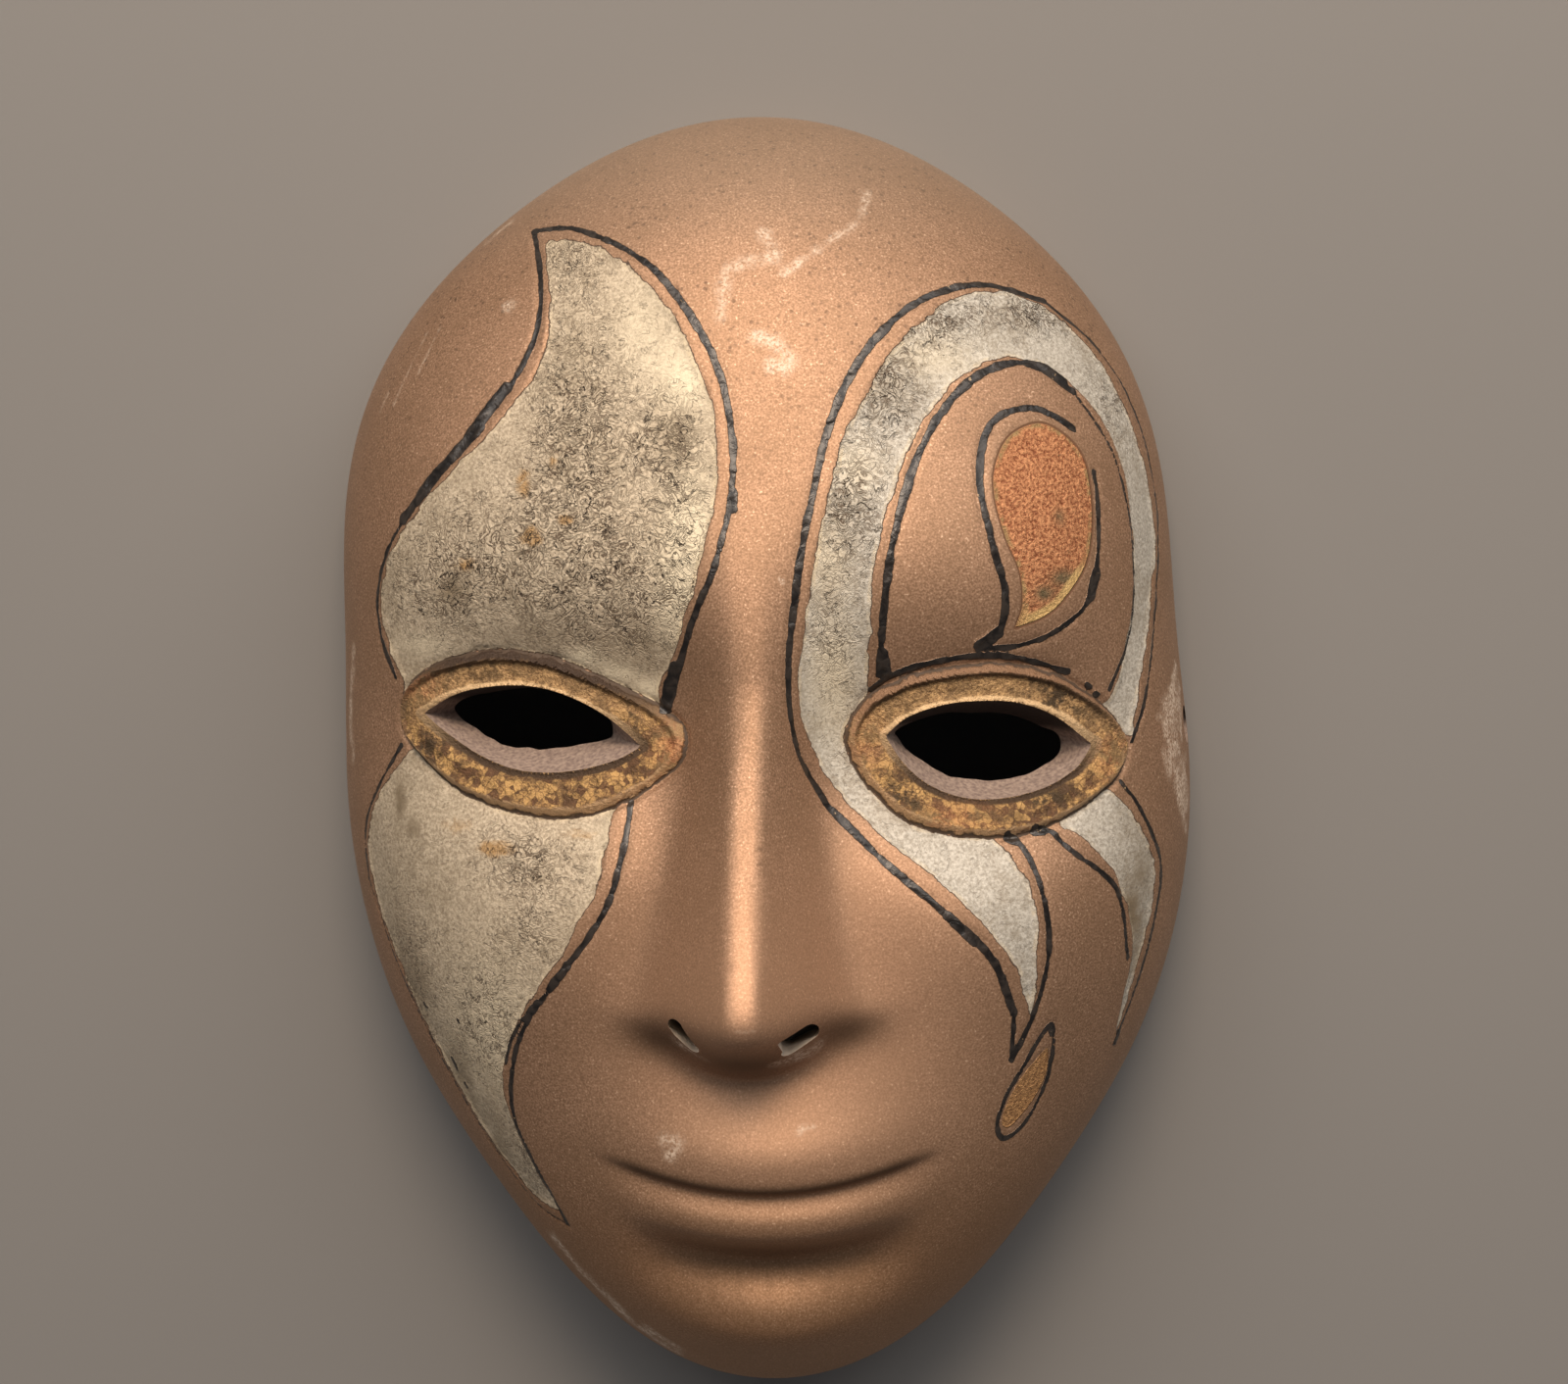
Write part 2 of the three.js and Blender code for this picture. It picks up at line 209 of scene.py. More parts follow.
def mouth(x, y):
    """A muzzle with two lips, which are bells across the smile. The surface drops at the line and
    again below the lower lip, each time by a step that comes back along a bell."""
    across = np.abs(x - MOUTH_X)
    above = y - MOUTH_Y - SMILE * across**2
    z = oval(x, y, MUZZLE)
    for middle, half, near, far, rise in LIPS:
        z = z + rise * step(far, near, across) * bell((above - middle) / half)
    for depth, start, end, back, wide in DROPS:
        drop = step(start, end, above) * bell(np.minimum(above - end, 0) / back)
        z = z - depth * drop * step(wide, wide / 2, across)
    return z


def upper_face(x, y):
    """Hollows round the eyes, and on each side a cheekbone and a brow."""
    toward_nose, half_width, half_height, edge, depth = SOCKET
    z = 0
    for eye_x, eye_y in EYE_MIDDLES:
        side = np.sign(eye_x)
        off = np.hypot((x - eye_x + toward_nose * side) / half_width, (y - eye_y) / half_height)
        z = z - depth * bell(off**edge)
        z = z + sum(oval(side * x, y, part) for part in (INNER_CORNER, CHEEKBONE, BROW))
    return z


def face_height(x, y):
    """Height of the outside over the rim plane: the dome plus the features, which die at the rim."""
    share, z = dome(x, y)
    features = nose(x, y) + mouth(x, y) + oval(x, y, CHIN) + upper_face(x, y)
    return z + features * step(1, RIM_FADE, share)


def on_face(xy):
    """Points of the outside over points of the rim plane."""
    return np.column_stack([xy, face_height(xy[:, 0], xy[:, 1])])


print("height at the nose tip, mm:", float(face_height(-1.8, -36.0)))

# %% [markdown]
# The ornament is drawn as a maker would mark it out: a few points for each sweep of the knife, and
# a smooth curve through them. Sweeps that meet at a tip are joined into an outline, so the tips
# stay sharp. How far a point of the face is from a curve then decides its relief and its paint.

# %% Strokes, outlines and distances
FAR = 50.0
STEPS = 8


def stroke(*points, steps=STEPS):
    """A smooth curve through the points: between two of them, the Catmull-Rom cubic of the four
    nearest, with the ends carried straight on."""
    p = np.array(points, float)
    p = np.vstack([2 * p[0] - p[1], p, 2 * p[-1] - p[-2]])
    a, b, c, d = p[:-3], p[1:-2], p[2:-1], p[3:]
    t = np.linspace(0, 1, steps, endpoint=False)[:, None, None]
    curve = b + t * (c - a) / 2 + t**2 * (a - 2.5 * b + 2 * c - 0.5 * d)
    curve = curve + t**3 * (1.5 * (b - c) + 0.5 * (d - a))
    return np.vstack([curve.transpose(1, 0, 2).reshape(-1, 2), p[-2]])


def loop(*points):
    """The same curve run on round a closed shape."""
    p = list(points)
    whole = stroke(*p[-2:], *p, *p[:3])
    return whole[2 * STEPS:-2 * STEPS]


def outline(*strokes):
    """Strokes joined end to end into one closed shape."""
    return np.vstack(strokes)


def distance(points, curve, reach=8.0):
    """Distance in space from each point to a curve laid on the face: to each straight piece from a
    to b it is the distance to a + t(b - a), with t held between 0 and 1. FAR beyond the reach."""
    line = on_face(curve)
    out = np.full(len(points), FAR)
    for start in range(0, len(line) - 1, 2 * STEPS):
        part = line[start:start + 2 * STEPS + 1]
        a, along = part[:-1], np.diff(part, axis=0)
        near = np.flatnonzero(((points > part.min(0) - reach) & (points < part.max(0) + reach)).all(1))
        size = np.maximum((along**2).sum(1), 1e-9)
        p = points[near]
        ahead = p @ along.T - (a * along).sum(1)
        apart = (p**2).sum(1)[:, None] - 2 * p @ a.T + (a**2).sum(1)
        t = np.clip(ahead / size, 0, 1)
        squared = (apart - 2 * t * ahead + t**2 * size).min(axis=1)
        out[near] = np.minimum(out[near], np.sqrt(np.maximum(squared, 0)))
    return out


def depth_inside(points, shape, reach=8.0):
    """Distance to a closed shape's edge, above zero inside and below it outside. A point is inside
    where a ray from it crosses the edge an odd number of times."""
    edge = np.vstack([shape, shape[:1]])
    away = distance(points, edge, reach)
    x1, y1 = edge[:-1].T
    x2, y2 = edge[1:].T
    low, high = edge.min(0), edge.max(0)
    near = np.flatnonzero(((points[:, :2] > low) & (points[:, :2] < high)).all(1))
    inside = np.zeros(len(points), bool)
    rise = np.where(y2 == y1, 1e-9, y2 - y1)
    for block in np.array_split(near, len(near) // 8000 + 1):
        x, y = points[block, 0, None], points[block, 1, None]
        crosses = ((y1 > y) != (y2 > y)) & (x < x1 + (y - y1) * (x2 - x1) / rise)
        inside[block] = crosses.sum(axis=1) % 2 == 1
    return np.where(inside, away, -away)


print("a stroke through three points has", len(stroke((0, 0), (5, 5), (10, 0))), "points")

# %% [markdown]
# Where the ornament lies, in millimetres on the face. A field is a shallow recess that is filled
# with crackle paint. A line is cut with a round tool, and its second value is half its width.

# %% Fields of crackle paint
upper_leaf = outline(
    stroke((-33.5, 86.5), (-27.5, 86.3), (-21.5, 83.4), (-16.3, 78.6), (-12.2, 73.4), (-8.4, 66),
           (-5.8, 59.5), (-4.8, 52.5), (-5.2, 44.5), (-6.7, 37.6), (-8.6, 31), (-11, 23.5), (-15, 14)),
    stroke((-15, 14), (-18, 9), (-38, 8), (-56, 10), (-58.5, 15.5)),
    stroke((-58.5, 15.5), (-61.5, 24), (-61.5, 31), (-57.5, 39), (-51, 46.3), (-43.4, 53.8),
           (-37.2, 60.4), (-33.2, 67.2), (-32.2, 76), (-33.5, 86.5)),
)
lower_leaf = outline(
    stroke((-57.5, 3.5), (-50, 7), (-34, 5), (-22, -1), (-23, -6.7)),
    stroke((-23, -6.7), (-23.7, -10.5), (-25.1, -16.8), (-28.3, -22.6), (-33.8, -31.4), (-39.3, -39.7),
           (-42, -46.5), (-42.5, -53), (-39.4, -63), (-34.2, -73.2)),
    stroke((-34.2, -73.2), (-39, -70.8), (-44.4, -64.6), (-49, -56.8), (-54, -47.3), (-57.8, -39.4),
           (-61.6, -31.5), (-65, -22.6), (-66.1, -15), (-65.7, -9.5), (-62.8, -3.4), (-57.5, 3.5)),
)
arch = outline(
    stroke((43.5, -40), (41, -32), (35, -23), (27, -15.5), (16.5, -6.5), (9.7, 3), (7.5, 14),
           (9.3, 27.5), (12, 41.5), (17, 56.5), (24.5, 68), (34, 75.5), (45, 75.5), (55.5, 68),
           (63.3, 54), (66.5, 37), (65, 23), (61.3, 4)),
    stroke((61.3, 4), (54, 6), (57.8, 10.4), (60.2, 17), (62.3, 29), (61, 46.5), (55.5, 58), (47, 64.7),
           (37.5, 64.5), (28.7, 57), (22.5, 44), (19, 28.5), (18.1, 12)),
    stroke((18.1, 12), (24, 6), (28, -2), (36, -6), (38, -12)),
    stroke((38, -12), (41, -15), (43.2, -19), (44.4, -26), (44.5, -32), (43.5, -40)),
)
outer_tail = outline(
    stroke((56.8, -4.7), (60.6, -8.7), (63.6, -13.5), (65, -19), (64.8, -24), (63.6, -29.5),
           (61.8, -35.5), (59.9, -41.3), (58.3, -46.3)),
    stroke((58.3, -46.3), (59.6, -39.1), (60.8, -34.5), (61.1, -30.3), (60.4, -26), (59.4, -22.3),
           (57.8, -18.2), (55.3, -14.5), (52, -11.6), (49, -9.8)),
    stroke((49, -9.8), (49, -5), (53, -2), (56.8, -4.7)),
)
rust_drop = outline(
    stroke((41.8, 22.3), (43, 26), (42.6, 31.3), (40.4, 36.8), (38.8, 43.5), (39.2, 48.5), (41.6, 52.8),
           (46.3, 54.8), (50.5, 53), (53.8, 49), (54.9, 42.5), (54.7, 36.5), (53.4, 31.6), (50, 26.8),
           (46.6, 24), (41.8, 22.3)),
)
small_drop = outline(
    stroke((46.3, -45.6), (46.3, -49.5), (44.8, -53.3), (42.3, -56.7), (39.8, -58.9), (38.6, -57.9),
           (39.5, -54.5), (42.2, -50), (46.3, -45.6)),
)
SILVER_FIELDS = [upper_leaf, lower_leaf, arch, outer_tail]
print("silver fields:", len(SILVER_FIELDS), "points:", sum(len(f) for f in SILVER_FIELDS))

# %% Lines filled with black
LINES = [
    (stroke((-36, 89), (-28.5, 88.5), (-18, 83.3), (-11, 76), (-5, 65.5), (-2.5, 54.7), (-2.6, 44.5),
            (-5.3, 33.5), (-9.2, 24.5), (-12.5, 14.5), (-13.7, 11.7)), 0.52),
    (stroke((-36, 89), (-34, 80), (-34.2, 71.7), (-37.5, 64), (-43.5, 56)), 0.5),
    (stroke((-43.5, 56), (-51.3, 48.2), (-57, 41.6)), 1.0),
    (stroke((-57, 41.6), (-60.5, 36), (-62.5, 29), (-62, 22), (-59.5, 15.5)), 0.42),
    (stroke((-58.8, 4.5), (-64.3, -4), (-66.9, -10.5), (-66.8, -19)), 0.32),
    (stroke((-66.8, -19), (-60.6, -34.8), (-49.2, -57.8), (-39.6, -71.8), (-33, -75.5)), 0.2),
    (stroke((-19.8, -4), (-20.6, -9.5), (-22.8, -18), (-26, -24), (-32.6, -32.6), (-37.8, -39.8),
            (-40.6, -47.6), (-41, -57), (-36, -69), (-33, -75.5)), 0.44),
    (stroke((-35.4, -35.6), (-38.3, -39), (-40.6, -42.9), (-41.9, -47)), 0.34),
    (stroke((40.2, -47), (40.6, -39.2)), 0.38),
    (stroke((40.6, -39.2), (37, -29.7), (29.5, -22), (19.8, -13.4), (11.3, -4.7)), 0.6),
    (stroke((11.3, -4.7), (7, 4.5), (5.9, 16), (7.3, 29.6), (9.6, 41.6), (13, 55), (18.5, 66.2),
            (27.2, 74.6), (38, 77.7), (48.5, 75.3)), 0.58),
    (stroke((48.5, 75.3), (58.3, 66.6), (64.6, 54.8), (67.3, 40.3), (66.4, 25), (64, 10), (61.3, 2.6)), 0.36),
    (stroke((20, 15.4), (21, 26.2), (22.8, 37.5), (27.3, 51), (34.8, 61.3), (44.4, 64.8), (52.6, 60)), 0.62),
    (stroke((52.6, 60), (59, 50), (62, 36.4), (61.6, 21.5), (57.5, 11.5)), 0.3),
    (stroke((40, -10.8), (42.8, -13.3), (45.1, -18.8), (46.4, -26.2), (45.6, -34), (43.3, -41),
            (40.2, -47)), 0.5),
    (stroke((18.6, 12.9), (21.8, 15), (26.4, 16.7), (34.5, 17.9), (42, 17.4), (50.4, 14.8)), 0.6),
    (stroke((36, 19.2), (39.2, 21.7), (40.2, 28), (38.3, 35.7), (36.5, 45.8), (38.5, 54.7),
            (45.4, 57.3), (52.3, 54)), 0.6),
    (stroke((55.5, 46.8), (55.9, 43), (55.8, 34), (53.8, 26), (48.6, 21.6), (42.4, 19.4), (36, 19.2)), 0.48),
    (stroke((44.2, -10.4), (47, -10.6), (50, -13.4), (57, -19.4), (59.1, -24.8), (60.1, -33)), 0.45),
    (stroke((59.2, -3.6), (62.5, -8.4), (66.1, -17), (65.8, -24.5), (63, -35.5), (58.3, -47.5)), 0.4),
    (loop((46.6, -41.8), (47.1, -46.5), (45.6, -53), (42.4, -58.6), (39.1, -60.7), (37.8, -58.4),
          (39, -53.9), (42.2, -48.4)), 0.4),
]
# drops and thick places of the black paint
BEADS = [
    (stroke((-12.3, 17.6), (-13, 15.4)), 0.75),
    (stroke((-13.1, 14.6), (-14.2, 10.8)), 1.25),
    (stroke((-2.4, 44.8), (-2.3, 42)), 0.7),
    (stroke((-39, 62.2), (-41.3, 60), (-43.2, 57.5), (-45.4, 54.6)), 1.0),
    (stroke((45, 64.6), (48, 63.6), (51, 61.6)), 1.0),
    (stroke((55.3, 30.5), (54.3, 27)), 0.95),
    (stroke((21, 15.5), (20.6, 19)), 0.95),
    (stroke((36, 19.8), (38.9, 21.6)), 1.1),
    (stroke((40.2, -11.2), (41.2, -11.6)), 0.8),
    (stroke((44.5, -10.4), (46, -10.5)), 0.8),
    (stroke((30, -22.5), (34.5, -26.8)), 0.8),
    (stroke((58.7, -46.2), (58.2, -47.8)), 0.85),
    (stroke((46.6, -42), (47, -43.6)), 0.6),
    (stroke((53.6, 12.5), (54, 12.1)), 0.5),
    (stroke((55.1, 11), (55.4, 10.7)), 0.45),
    (stroke((-30.3, -29.6), (-33.5, -33.6)), 0.68),
    (stroke((-56.6, -38.5), (-56.2, -39.3)), 0.35),
    (stroke((-52.2, -48), (-51.4, -49.8)), 0.4),
    (stroke((-50.2, -52.2), (-49.8, -53)), 0.38),
    (stroke((-50.2, -40.3), (-49.9, -41)), 0.35),
]
print("lines:", len(LINES), "thick places:", len(BEADS))

# %% Eye openings and the bands round them
EYES = [
    {
        "middle": (-36.5, 8.0),
        "front": outline(
            stroke((-54.3, 10.0), (-48.5, 13.1), (-42.5, 14.4), (-36, 14.5), (-30, 13), (-24, 9.8),
                   (-17.9, 4.5)),
            stroke((-17.9, 4.5), (-22, 2.4), (-28, 0.9), (-34, 0.4), (-40, 1.2), (-46, 3.8), (-51, 7.2),
                   (-54.3, 10.0)),
        ),
        "back": loop((-50, 10.4), (-47, 12.3), (-40, 13.4), (-33.5, 13.3), (-27.5, 11.8), (-24, 9),
                     (-23.8, 5.8), (-28.7, 4.7), (-36.8, 3.8), (-43.8, 5.4), (-48.3, 8.4)),
        "band": loop((-57.5, 13.4), (-53, 17), (-47, 19), (-41, 19.8), (-34.5, 19.2), (-28, 17),
                     (-20.5, 13.4), (-14.6, 10.2), (-11.2, 6.8), (-12, 2.6), (-17.4, -1.8), (-25, -5.2),
                     (-32, -6.1), (-40, -5.1), (-47.8, -2.4), (-54.2, 2.2), (-58.2, 7.5)),
    },
    {
        "middle": (36.5, 3.0),
        "front": outline(
            stroke((20.8, 5.6), (24.4, 8.6), (30.2, 10.4), (36.1, 10.8), (42.1, 10.2), (48.1, 7.8),
                   (54.3, 2.8)),
            stroke((54.3, 2.8), (51.7, -0.8), (46.8, -3.6), (40.6, -5), (34.7, -5), (28.9, -3.2),
                   (24.2, 0.4), (20.8, 5.6)),
        ),
        "back": loop((22.6, 5.8), (25.5, 7.4), (30.3, 8.3), (35.3, 8.5), (40.1, 8.1), (44.3, 6.8),
                     (47.9, 4.9), (49.3, 3.3), (49.3, 1.3), (47.6, -0.2), (44.2, -1.8), (39.9, -2.8),
                     (33.8, -2.4), (29.1, -0.7), (25.5, 1.9), (23.4, 4.2)),
        "band": loop((14.9, 6.1), (18, 11.2), (22.1, 13.6), (26.8, 15.3), (36.2, 16.3), (42.2, 15.8),
                     (48.2, 14.1), (53.2, 11.1), (57.6, 7.3), (60.2, 2.3), (58.5, -2.4), (55.4, -5),
                     (50.9, -7.7), (45.3, -9.8), (39.9, -10.7), (34.6, -10.4), (29.9, -9.6), (25.2, -8),
                     (21.8, -5.7), (18.3, -2.1), (16, 1.5)),
    },
]
print("eye bands:", len(EYES))

# %% Age and wear
# x, y, half width, half height and strength of each soft patch
CURL = (
    (-27, 53, 8, 20, 1), (-36, 36, 17, 8, 1), (-13, 53, 5, 7, 0.9), (-20, 28, 13, 8, 0.8),
    (-51, 29, 8, 6, 0.8), (-31, 83, 6, 5, 0.7), (-10, 40, 4, 12, 0.5), (-37, -13, 7, 4, 1),
    (-36, -24, 5, 6, 0.6), (-45, -40, 7, 12, 0.7), (-58, -32, 4, 12, 0.6), (-38, -62, 5, 8, 0.6),
    (22, 61, 6, 8, 0.9), (16, 42, 5, 9, 1), (47, 73, 8, 3, 1), (31, 71, 6, 4, 0.9), (13, 22, 4, 9, 0.6),
    (60, 60, 4, 8, 0.6), (18, 5, 5, 6, 0.4),
)
CREAM = (
    (-10, 62, 4, 5, 1), (-9, 38, 4.5, 12, 1), (-11, 31, 4, 6, 0.6), (-17, 70, 5, 8, 0.5),
    (-13, 24, 3, 4, 0.5), (-54, 21, 5, 2, 0.6), (-27, 18.9, 3, 1.4, 1.1), (-21.5, 16.4, 3, 1.5, 1.2),
    (-16.8, 13.7, 2.2, 1.6, 1.2), (-22, -12, 3, 8, 0.5), (-44, -42, 8, 12, 0.6), (12, 34, 4, 6, 0.6),
    (13, 16, 4, 10, 0.8), (30, 66, 6, 4, 0.5), (17, 48, 4, 5, 0.5), (52, 28.5, 4, 4, 1.2),
    (46.5, 23.5, 5, 3, 1.2),
)
OCHRE = (
    (-34.5, 38.5, 2.2, 1.8, 1), (-36, 47, 1.6, 2.6, 0.9), (-29, 41, 1.6, 1.1, 0.9),
    (-31, 50.5, 1, 2, 0.7), (-46, 34, 3, 1.8, 0.7), (-42, -11.5, 3.5, 1.5, 1), (-49, -8, 4, 2, 0.5),
    (-28, -9, 5, 1.2, 0.6), (-12.5, 4, 2.6, 5, 1), (-54, 14, 4, 3, 0.6), (17, 4, 3, 5, 0.5),
    (30, -8, 7, 2.2, 0.6), (57, 0, 3, 4, 0.6),
)
SOOT = (
    (-11, 53, 3.5, 5, 0.7), (-48.5, 30, 3, 2.6, 1), (-30, 22, 14, 2.5, 0.4), (-18, 20, 6, 4, 0.3),
    (-59.4, -4.6, 0.8, 2.2, 2), (-56.9, -8.8, 1.1, 1.5, 2), (-61, -30, 3, 14, 0.5),
    (62, -24, 3, 13, 0.9), (60.6, -24.5, 1.2, 2.2, 1), (-50, -52, 4, 8, 0.7), (-57, -38, 2.5, 8, 0.8),
    (-45, -63, 3, 7, 0.7), (15, 40, 4, 8, 0.3), (24, 62, 5, 5, 0.3), (12, 29, 2, 5, 0.4),
    (46.4, 27.6, 2, 1.1, 1.2), (50, 30, 2.2, 1.2, 1.2), (49.4, 39.8, 0.8, 1.1, 1),
    (50, 11.5, 6, 3.5, 0.9), (24, -4.5, 4.5, 3, 0.8), (46, -5.5, 5, 2, 0.7), (-53, 4, 4, 4, 0.6),
    (-18, 9, 5, 2.5, 0.7), (-46, 17, 8, 1.5, 0.3),
)
# painted shade: patches under the nose, beside its wings and in the fold below the lower lip
SHADE_PATCHES = (
    (-1.5, -43.2, 9.5, 4.2, 1), (-16, -40.5, 6, 3.2, 0.8), (14.5, -40, 6, 3.2, 0.8),
    (1, -77.5, 17, 3.2, 0.62),
)
# smudges, scratches and chips that show the pale ceramic, and half their width
WEAR = [
    (stroke((2.9, 86), (4.4, 82.3), (-2.6, 80.3), (-4.2, 73)), 1.6),
    (stroke((6, 79.3), (12.3, 84), (18, 88.3), (19.5, 93.6)), 0.9),
    (stroke((1.3, 69), (4.4, 68.2), (7, 64.6), (3.6, 64.7)), 1.7),
    (stroke((-39.6, 76), (-38.8, 75.6)), 1.2),
    (stroke((-54.3, 72.6), (-57.3, 66.2), (-59.8, 60.7)), 0.5),
    (stroke((-51.9, 73), (-55.6, 64.9)), 0.45),
    (stroke((-61.4, 62.5), (-62.8, 59.5)), 0.6),
    (stroke((-44.6, 88.6), (-43, 90.1), (-41.2, 91.4)), 1.4),
    (stroke((70.5, 9.5), (69.3, 5), (69.5, 0), (70.8, -5), (71.8, -9)), 5.5),
    (stroke((-68.8, 19), (-69.6, 13.5), (-70.1, 7.6), (-69.6, 2)), 1.8),
    (stroke((4.8, 31.2), (5.2, 30.6)), 0.45),
    (stroke((-2.4, -35.8), (0.4, -35.9)), 0.4),
    (stroke((-15.2, -57), (-13, -57.6), (-14.4, -59.4)), 1.4),
    (stroke((6.8, -54.9), (8.2, -54.8)), 1.1),
    (stroke((-36, -79.8), (-32, -84.9), (-29.1, -88), (-23.9, -94.1), (-17.4, -100.3)), 2.4),
    (stroke((-20.5, -95.5), (-16.5, -98.5)), 2.6),
    (stroke((-12.6, -40.7), (-8.6, -42.8)), 1.4),
    (stroke((4, -43.6), (8.8, -42)), 2.3),
]
print("patches:", len(CURL + CREAM + OCHRE + SOOT), "worn places:", len(WEAR))

# %% [markdown]
# The mesh. A square grid is stretched over the dome, so its edge is the rim, and no point has more
# than a few neighbours. Then every edge that is longer than the detail at that place allows is cut
# at its middle. A triangle always cuts its longest edge too, so no thin slivers arise. The cuts,
# bands and fields get sides of about half a millimetre, and the plain face stays coarse.

# %% Grid over the dome
def on_dome(u, v, inset=0.0):
    """A square from -1 to 1 onto the outline: the square is bent to a disc, and the disc's radius
    goes to the rim as sin(quarter turn)^(2/n), which spaces the points evenly along the dome."""
    across = u * np.sqrt(1 - v * v / 2)
    along = v * np.sqrt(1 - u * u / 2)
    phi = np.arctan2(across, along)
    part = np.minimum(1, np.hypot(across, along))
    share = np.sin(part * np.pi / 2) ** (2 / fullness(phi))
    r = (rim_reach(phi) - inset) * share
    y = r * np.cos(phi)
    return r * np.sin(phi) - sway(y), y


def square_grid(columns, rows):
    """Points (u, v) of a square and its triangles, whose diagonals lean alike on both sides."""
    u, v = np.meshgrid(np.linspace(-1, 1, columns), np.linspace(-1, 1, rows))
    at = np.arange(columns * rows).reshape(rows, columns)
    a, b, c, d = at[:-1, :-1], at[:-1, 1:], at[1:, 1:], at[1:, :-1]
    lean = (u[:-1, :-1] + u[:-1, 1:]) * (v[:-1, :-1] + v[1:, :-1]) < 0
    first = np.where(lean[..., None], np.stack([a, b, d], -1), np.stack([a, b, c], -1))
    second = np.where(lean[..., None], np.stack([b, c, d], -1), np.stack([a, c, d], -1))
    tris = np.vstack([first.reshape(-1, 3), second.reshape(-1, 3)])
    return np.column_stack([u.ravel(), v.ravel()]), tris


RIM_ROUND = 1.0


def place(uv):
    """Grid points in space, with the rim's outer edge rounded off to a quarter circle."""
    x, y = on_dome(uv[:, 0], uv[:, 1])
    z = np.where(np.abs(uv).max(axis=1) == 1, 0, face_height(x, y))
    low = np.clip(1 - z / RIM_ROUND, 0, 1)
    inward = RIM_ROUND * (1 - np.sqrt(1 - low**2))
    shrink = 1 - inward / np.maximum(np.hypot(x, y), 1)
    return np.column_stack([x * shrink, y * shrink, z])


OUTER_GRID = (73, 97)
uv, outer_tris = square_grid(*OUTER_GRID)
print("coarse grid:", len(uv), "points,", len(outer_tris), "triangles")

# %% Cutting long edges
# longest edges in millimetres: at cuts, in the fields, on the plain face and at the rim
FINE, FIELD, PLAIN, EDGE = 0.72, 1.5, 2.4, 1.2
PASSES = 7


def refine(uv, tris, allowed, passes):
    """Cuts every edge longer than allowed, and each such triangle's longest edge, at its middle."""
    for _ in range(passes):
        corners = np.sort(np.stack([tris, np.roll(tris, -1, axis=1)], axis=2), axis=2)
        keys, edge_of = np.unique(corners[..., 0] * len(uv) + corners[..., 1], return_inverse=True)
        edge_of = edge_of.reshape(-1, 3)
        ends = np.column_stack([keys // len(uv), keys % len(uv)])
        points = place(uv)
        length = np.linalg.norm(points[ends[:, 0]] - points[ends[:, 1]], axis=1)
        middle = uv[ends].mean(axis=1)
        cut = length > FINE
        cut[cut] = length[cut] > allowed(place(middle[cut]))
        turn = length[edge_of].argmax(axis=1)
        longest = edge_of[np.arange(len(tris)), turn]
        wanted = longest[cut[edge_of].any(axis=1)]
        while not cut[wanted].all():
            cut[wanted] = True
            wanted = longest[cut[edge_of].any(axis=1)]
        if not cut.any():
            break
        new = np.where(cut, len(uv) + np.cumsum(cut) - 1, -1)
        uv = np.vstack([uv, middle[cut]])
        order = (np.arange(3) + turn[:, None]) % 3
        a, b, c = np.take_along_axis(tris, order, axis=1).T
        ab, bc, ca = np.take_along_axis(new[edge_of], order, axis=1).T
        whole, left, right = ab < 0, (ab >= 0) & (ca < 0), (ab >= 0) & (bc < 0)
        left_two, right_two = (ab >= 0) & (ca >= 0), (ab >= 0) & (bc >= 0)
        pieces = (
            (whole, a, b, c), (left, a, ab, c), (right, ab, b, c), (left_two, a, ab, ca),
            (left_two, ab, c, ca), (right_two, ab, b, bc), (right_two, ab, bc, c),
        )
        tris = np.vstack([np.column_stack([t[mask] for t in three]) for mask, *three in pieces])
    return uv, tris


def detail_size(points):
    """Longest edge allowed: fine at the cuts, bands and field edges, and coarser away from them."""
    x, y = points[:, 0], points[:, 1]
    to_cut = np.full(len(points), FAR)
    for line, half in LINES + BEADS:
        to_cut = np.minimum(to_cut, distance(points, line, 3.0) - half)
    inside = np.full(len(points), -FAR)
    for shape in SILVER_FIELDS + [rust_drop, small_drop]:
        depth = depth_inside(points, shape, 3.0)
        inside = np.maximum(inside, depth)
        to_cut = np.minimum(to_cut, np.abs(depth))
    for eye in EYES:
        band = depth_inside(points, eye["band"], 3.0)
        opening = depth_inside(points, eye["front"], 8.0)
        to_cut = np.minimum(to_cut, np.where(opening > 1.5, 2, np.maximum(-band, 0)))
    for mark, half in WEAR:
        to_cut = np.minimum(to_cut, distance(points, mark, 4.0) - half + 1.2)
    above = y - MOUTH_Y - SMILE * (x - MOUTH_X) ** 2
    at_mouth = (np.abs(x - MOUTH_X) < 26) & (np.abs(above) < 5)
    at_nose = (np.abs(x) < 22) & (y > -52) & (y < -28)
    to_cut = np.where(at_mouth, np.minimum(to_cut, 1.6), to_cut)
    to_cut = np.where(at_nose, np.minimum(to_cut, 2.0), to_cut)
    size = np.where(inside > 0, FIELD, PLAIN)
    size = np.where(points[:, 2] < 3, np.minimum(size, EDGE), size)
    return np.minimum(size, FINE + 0.55 * np.maximum(to_cut - 0.9, 0))


uv, outer_tris = refine(uv, outer_tris, detail_size, PASSES)
base = place(uv)
print("outside:", len(base), "points,", len(outer_tris), "triangles")

# %% [markdown]
# How far each point is from the lines, fields and bands. These distances are kept on the mesh, in
# millimetres, and the materials read them. So the relief and the paint always agree, and the edge
# of a colour stays crisp, because a distance runs evenly between two points of the mesh.

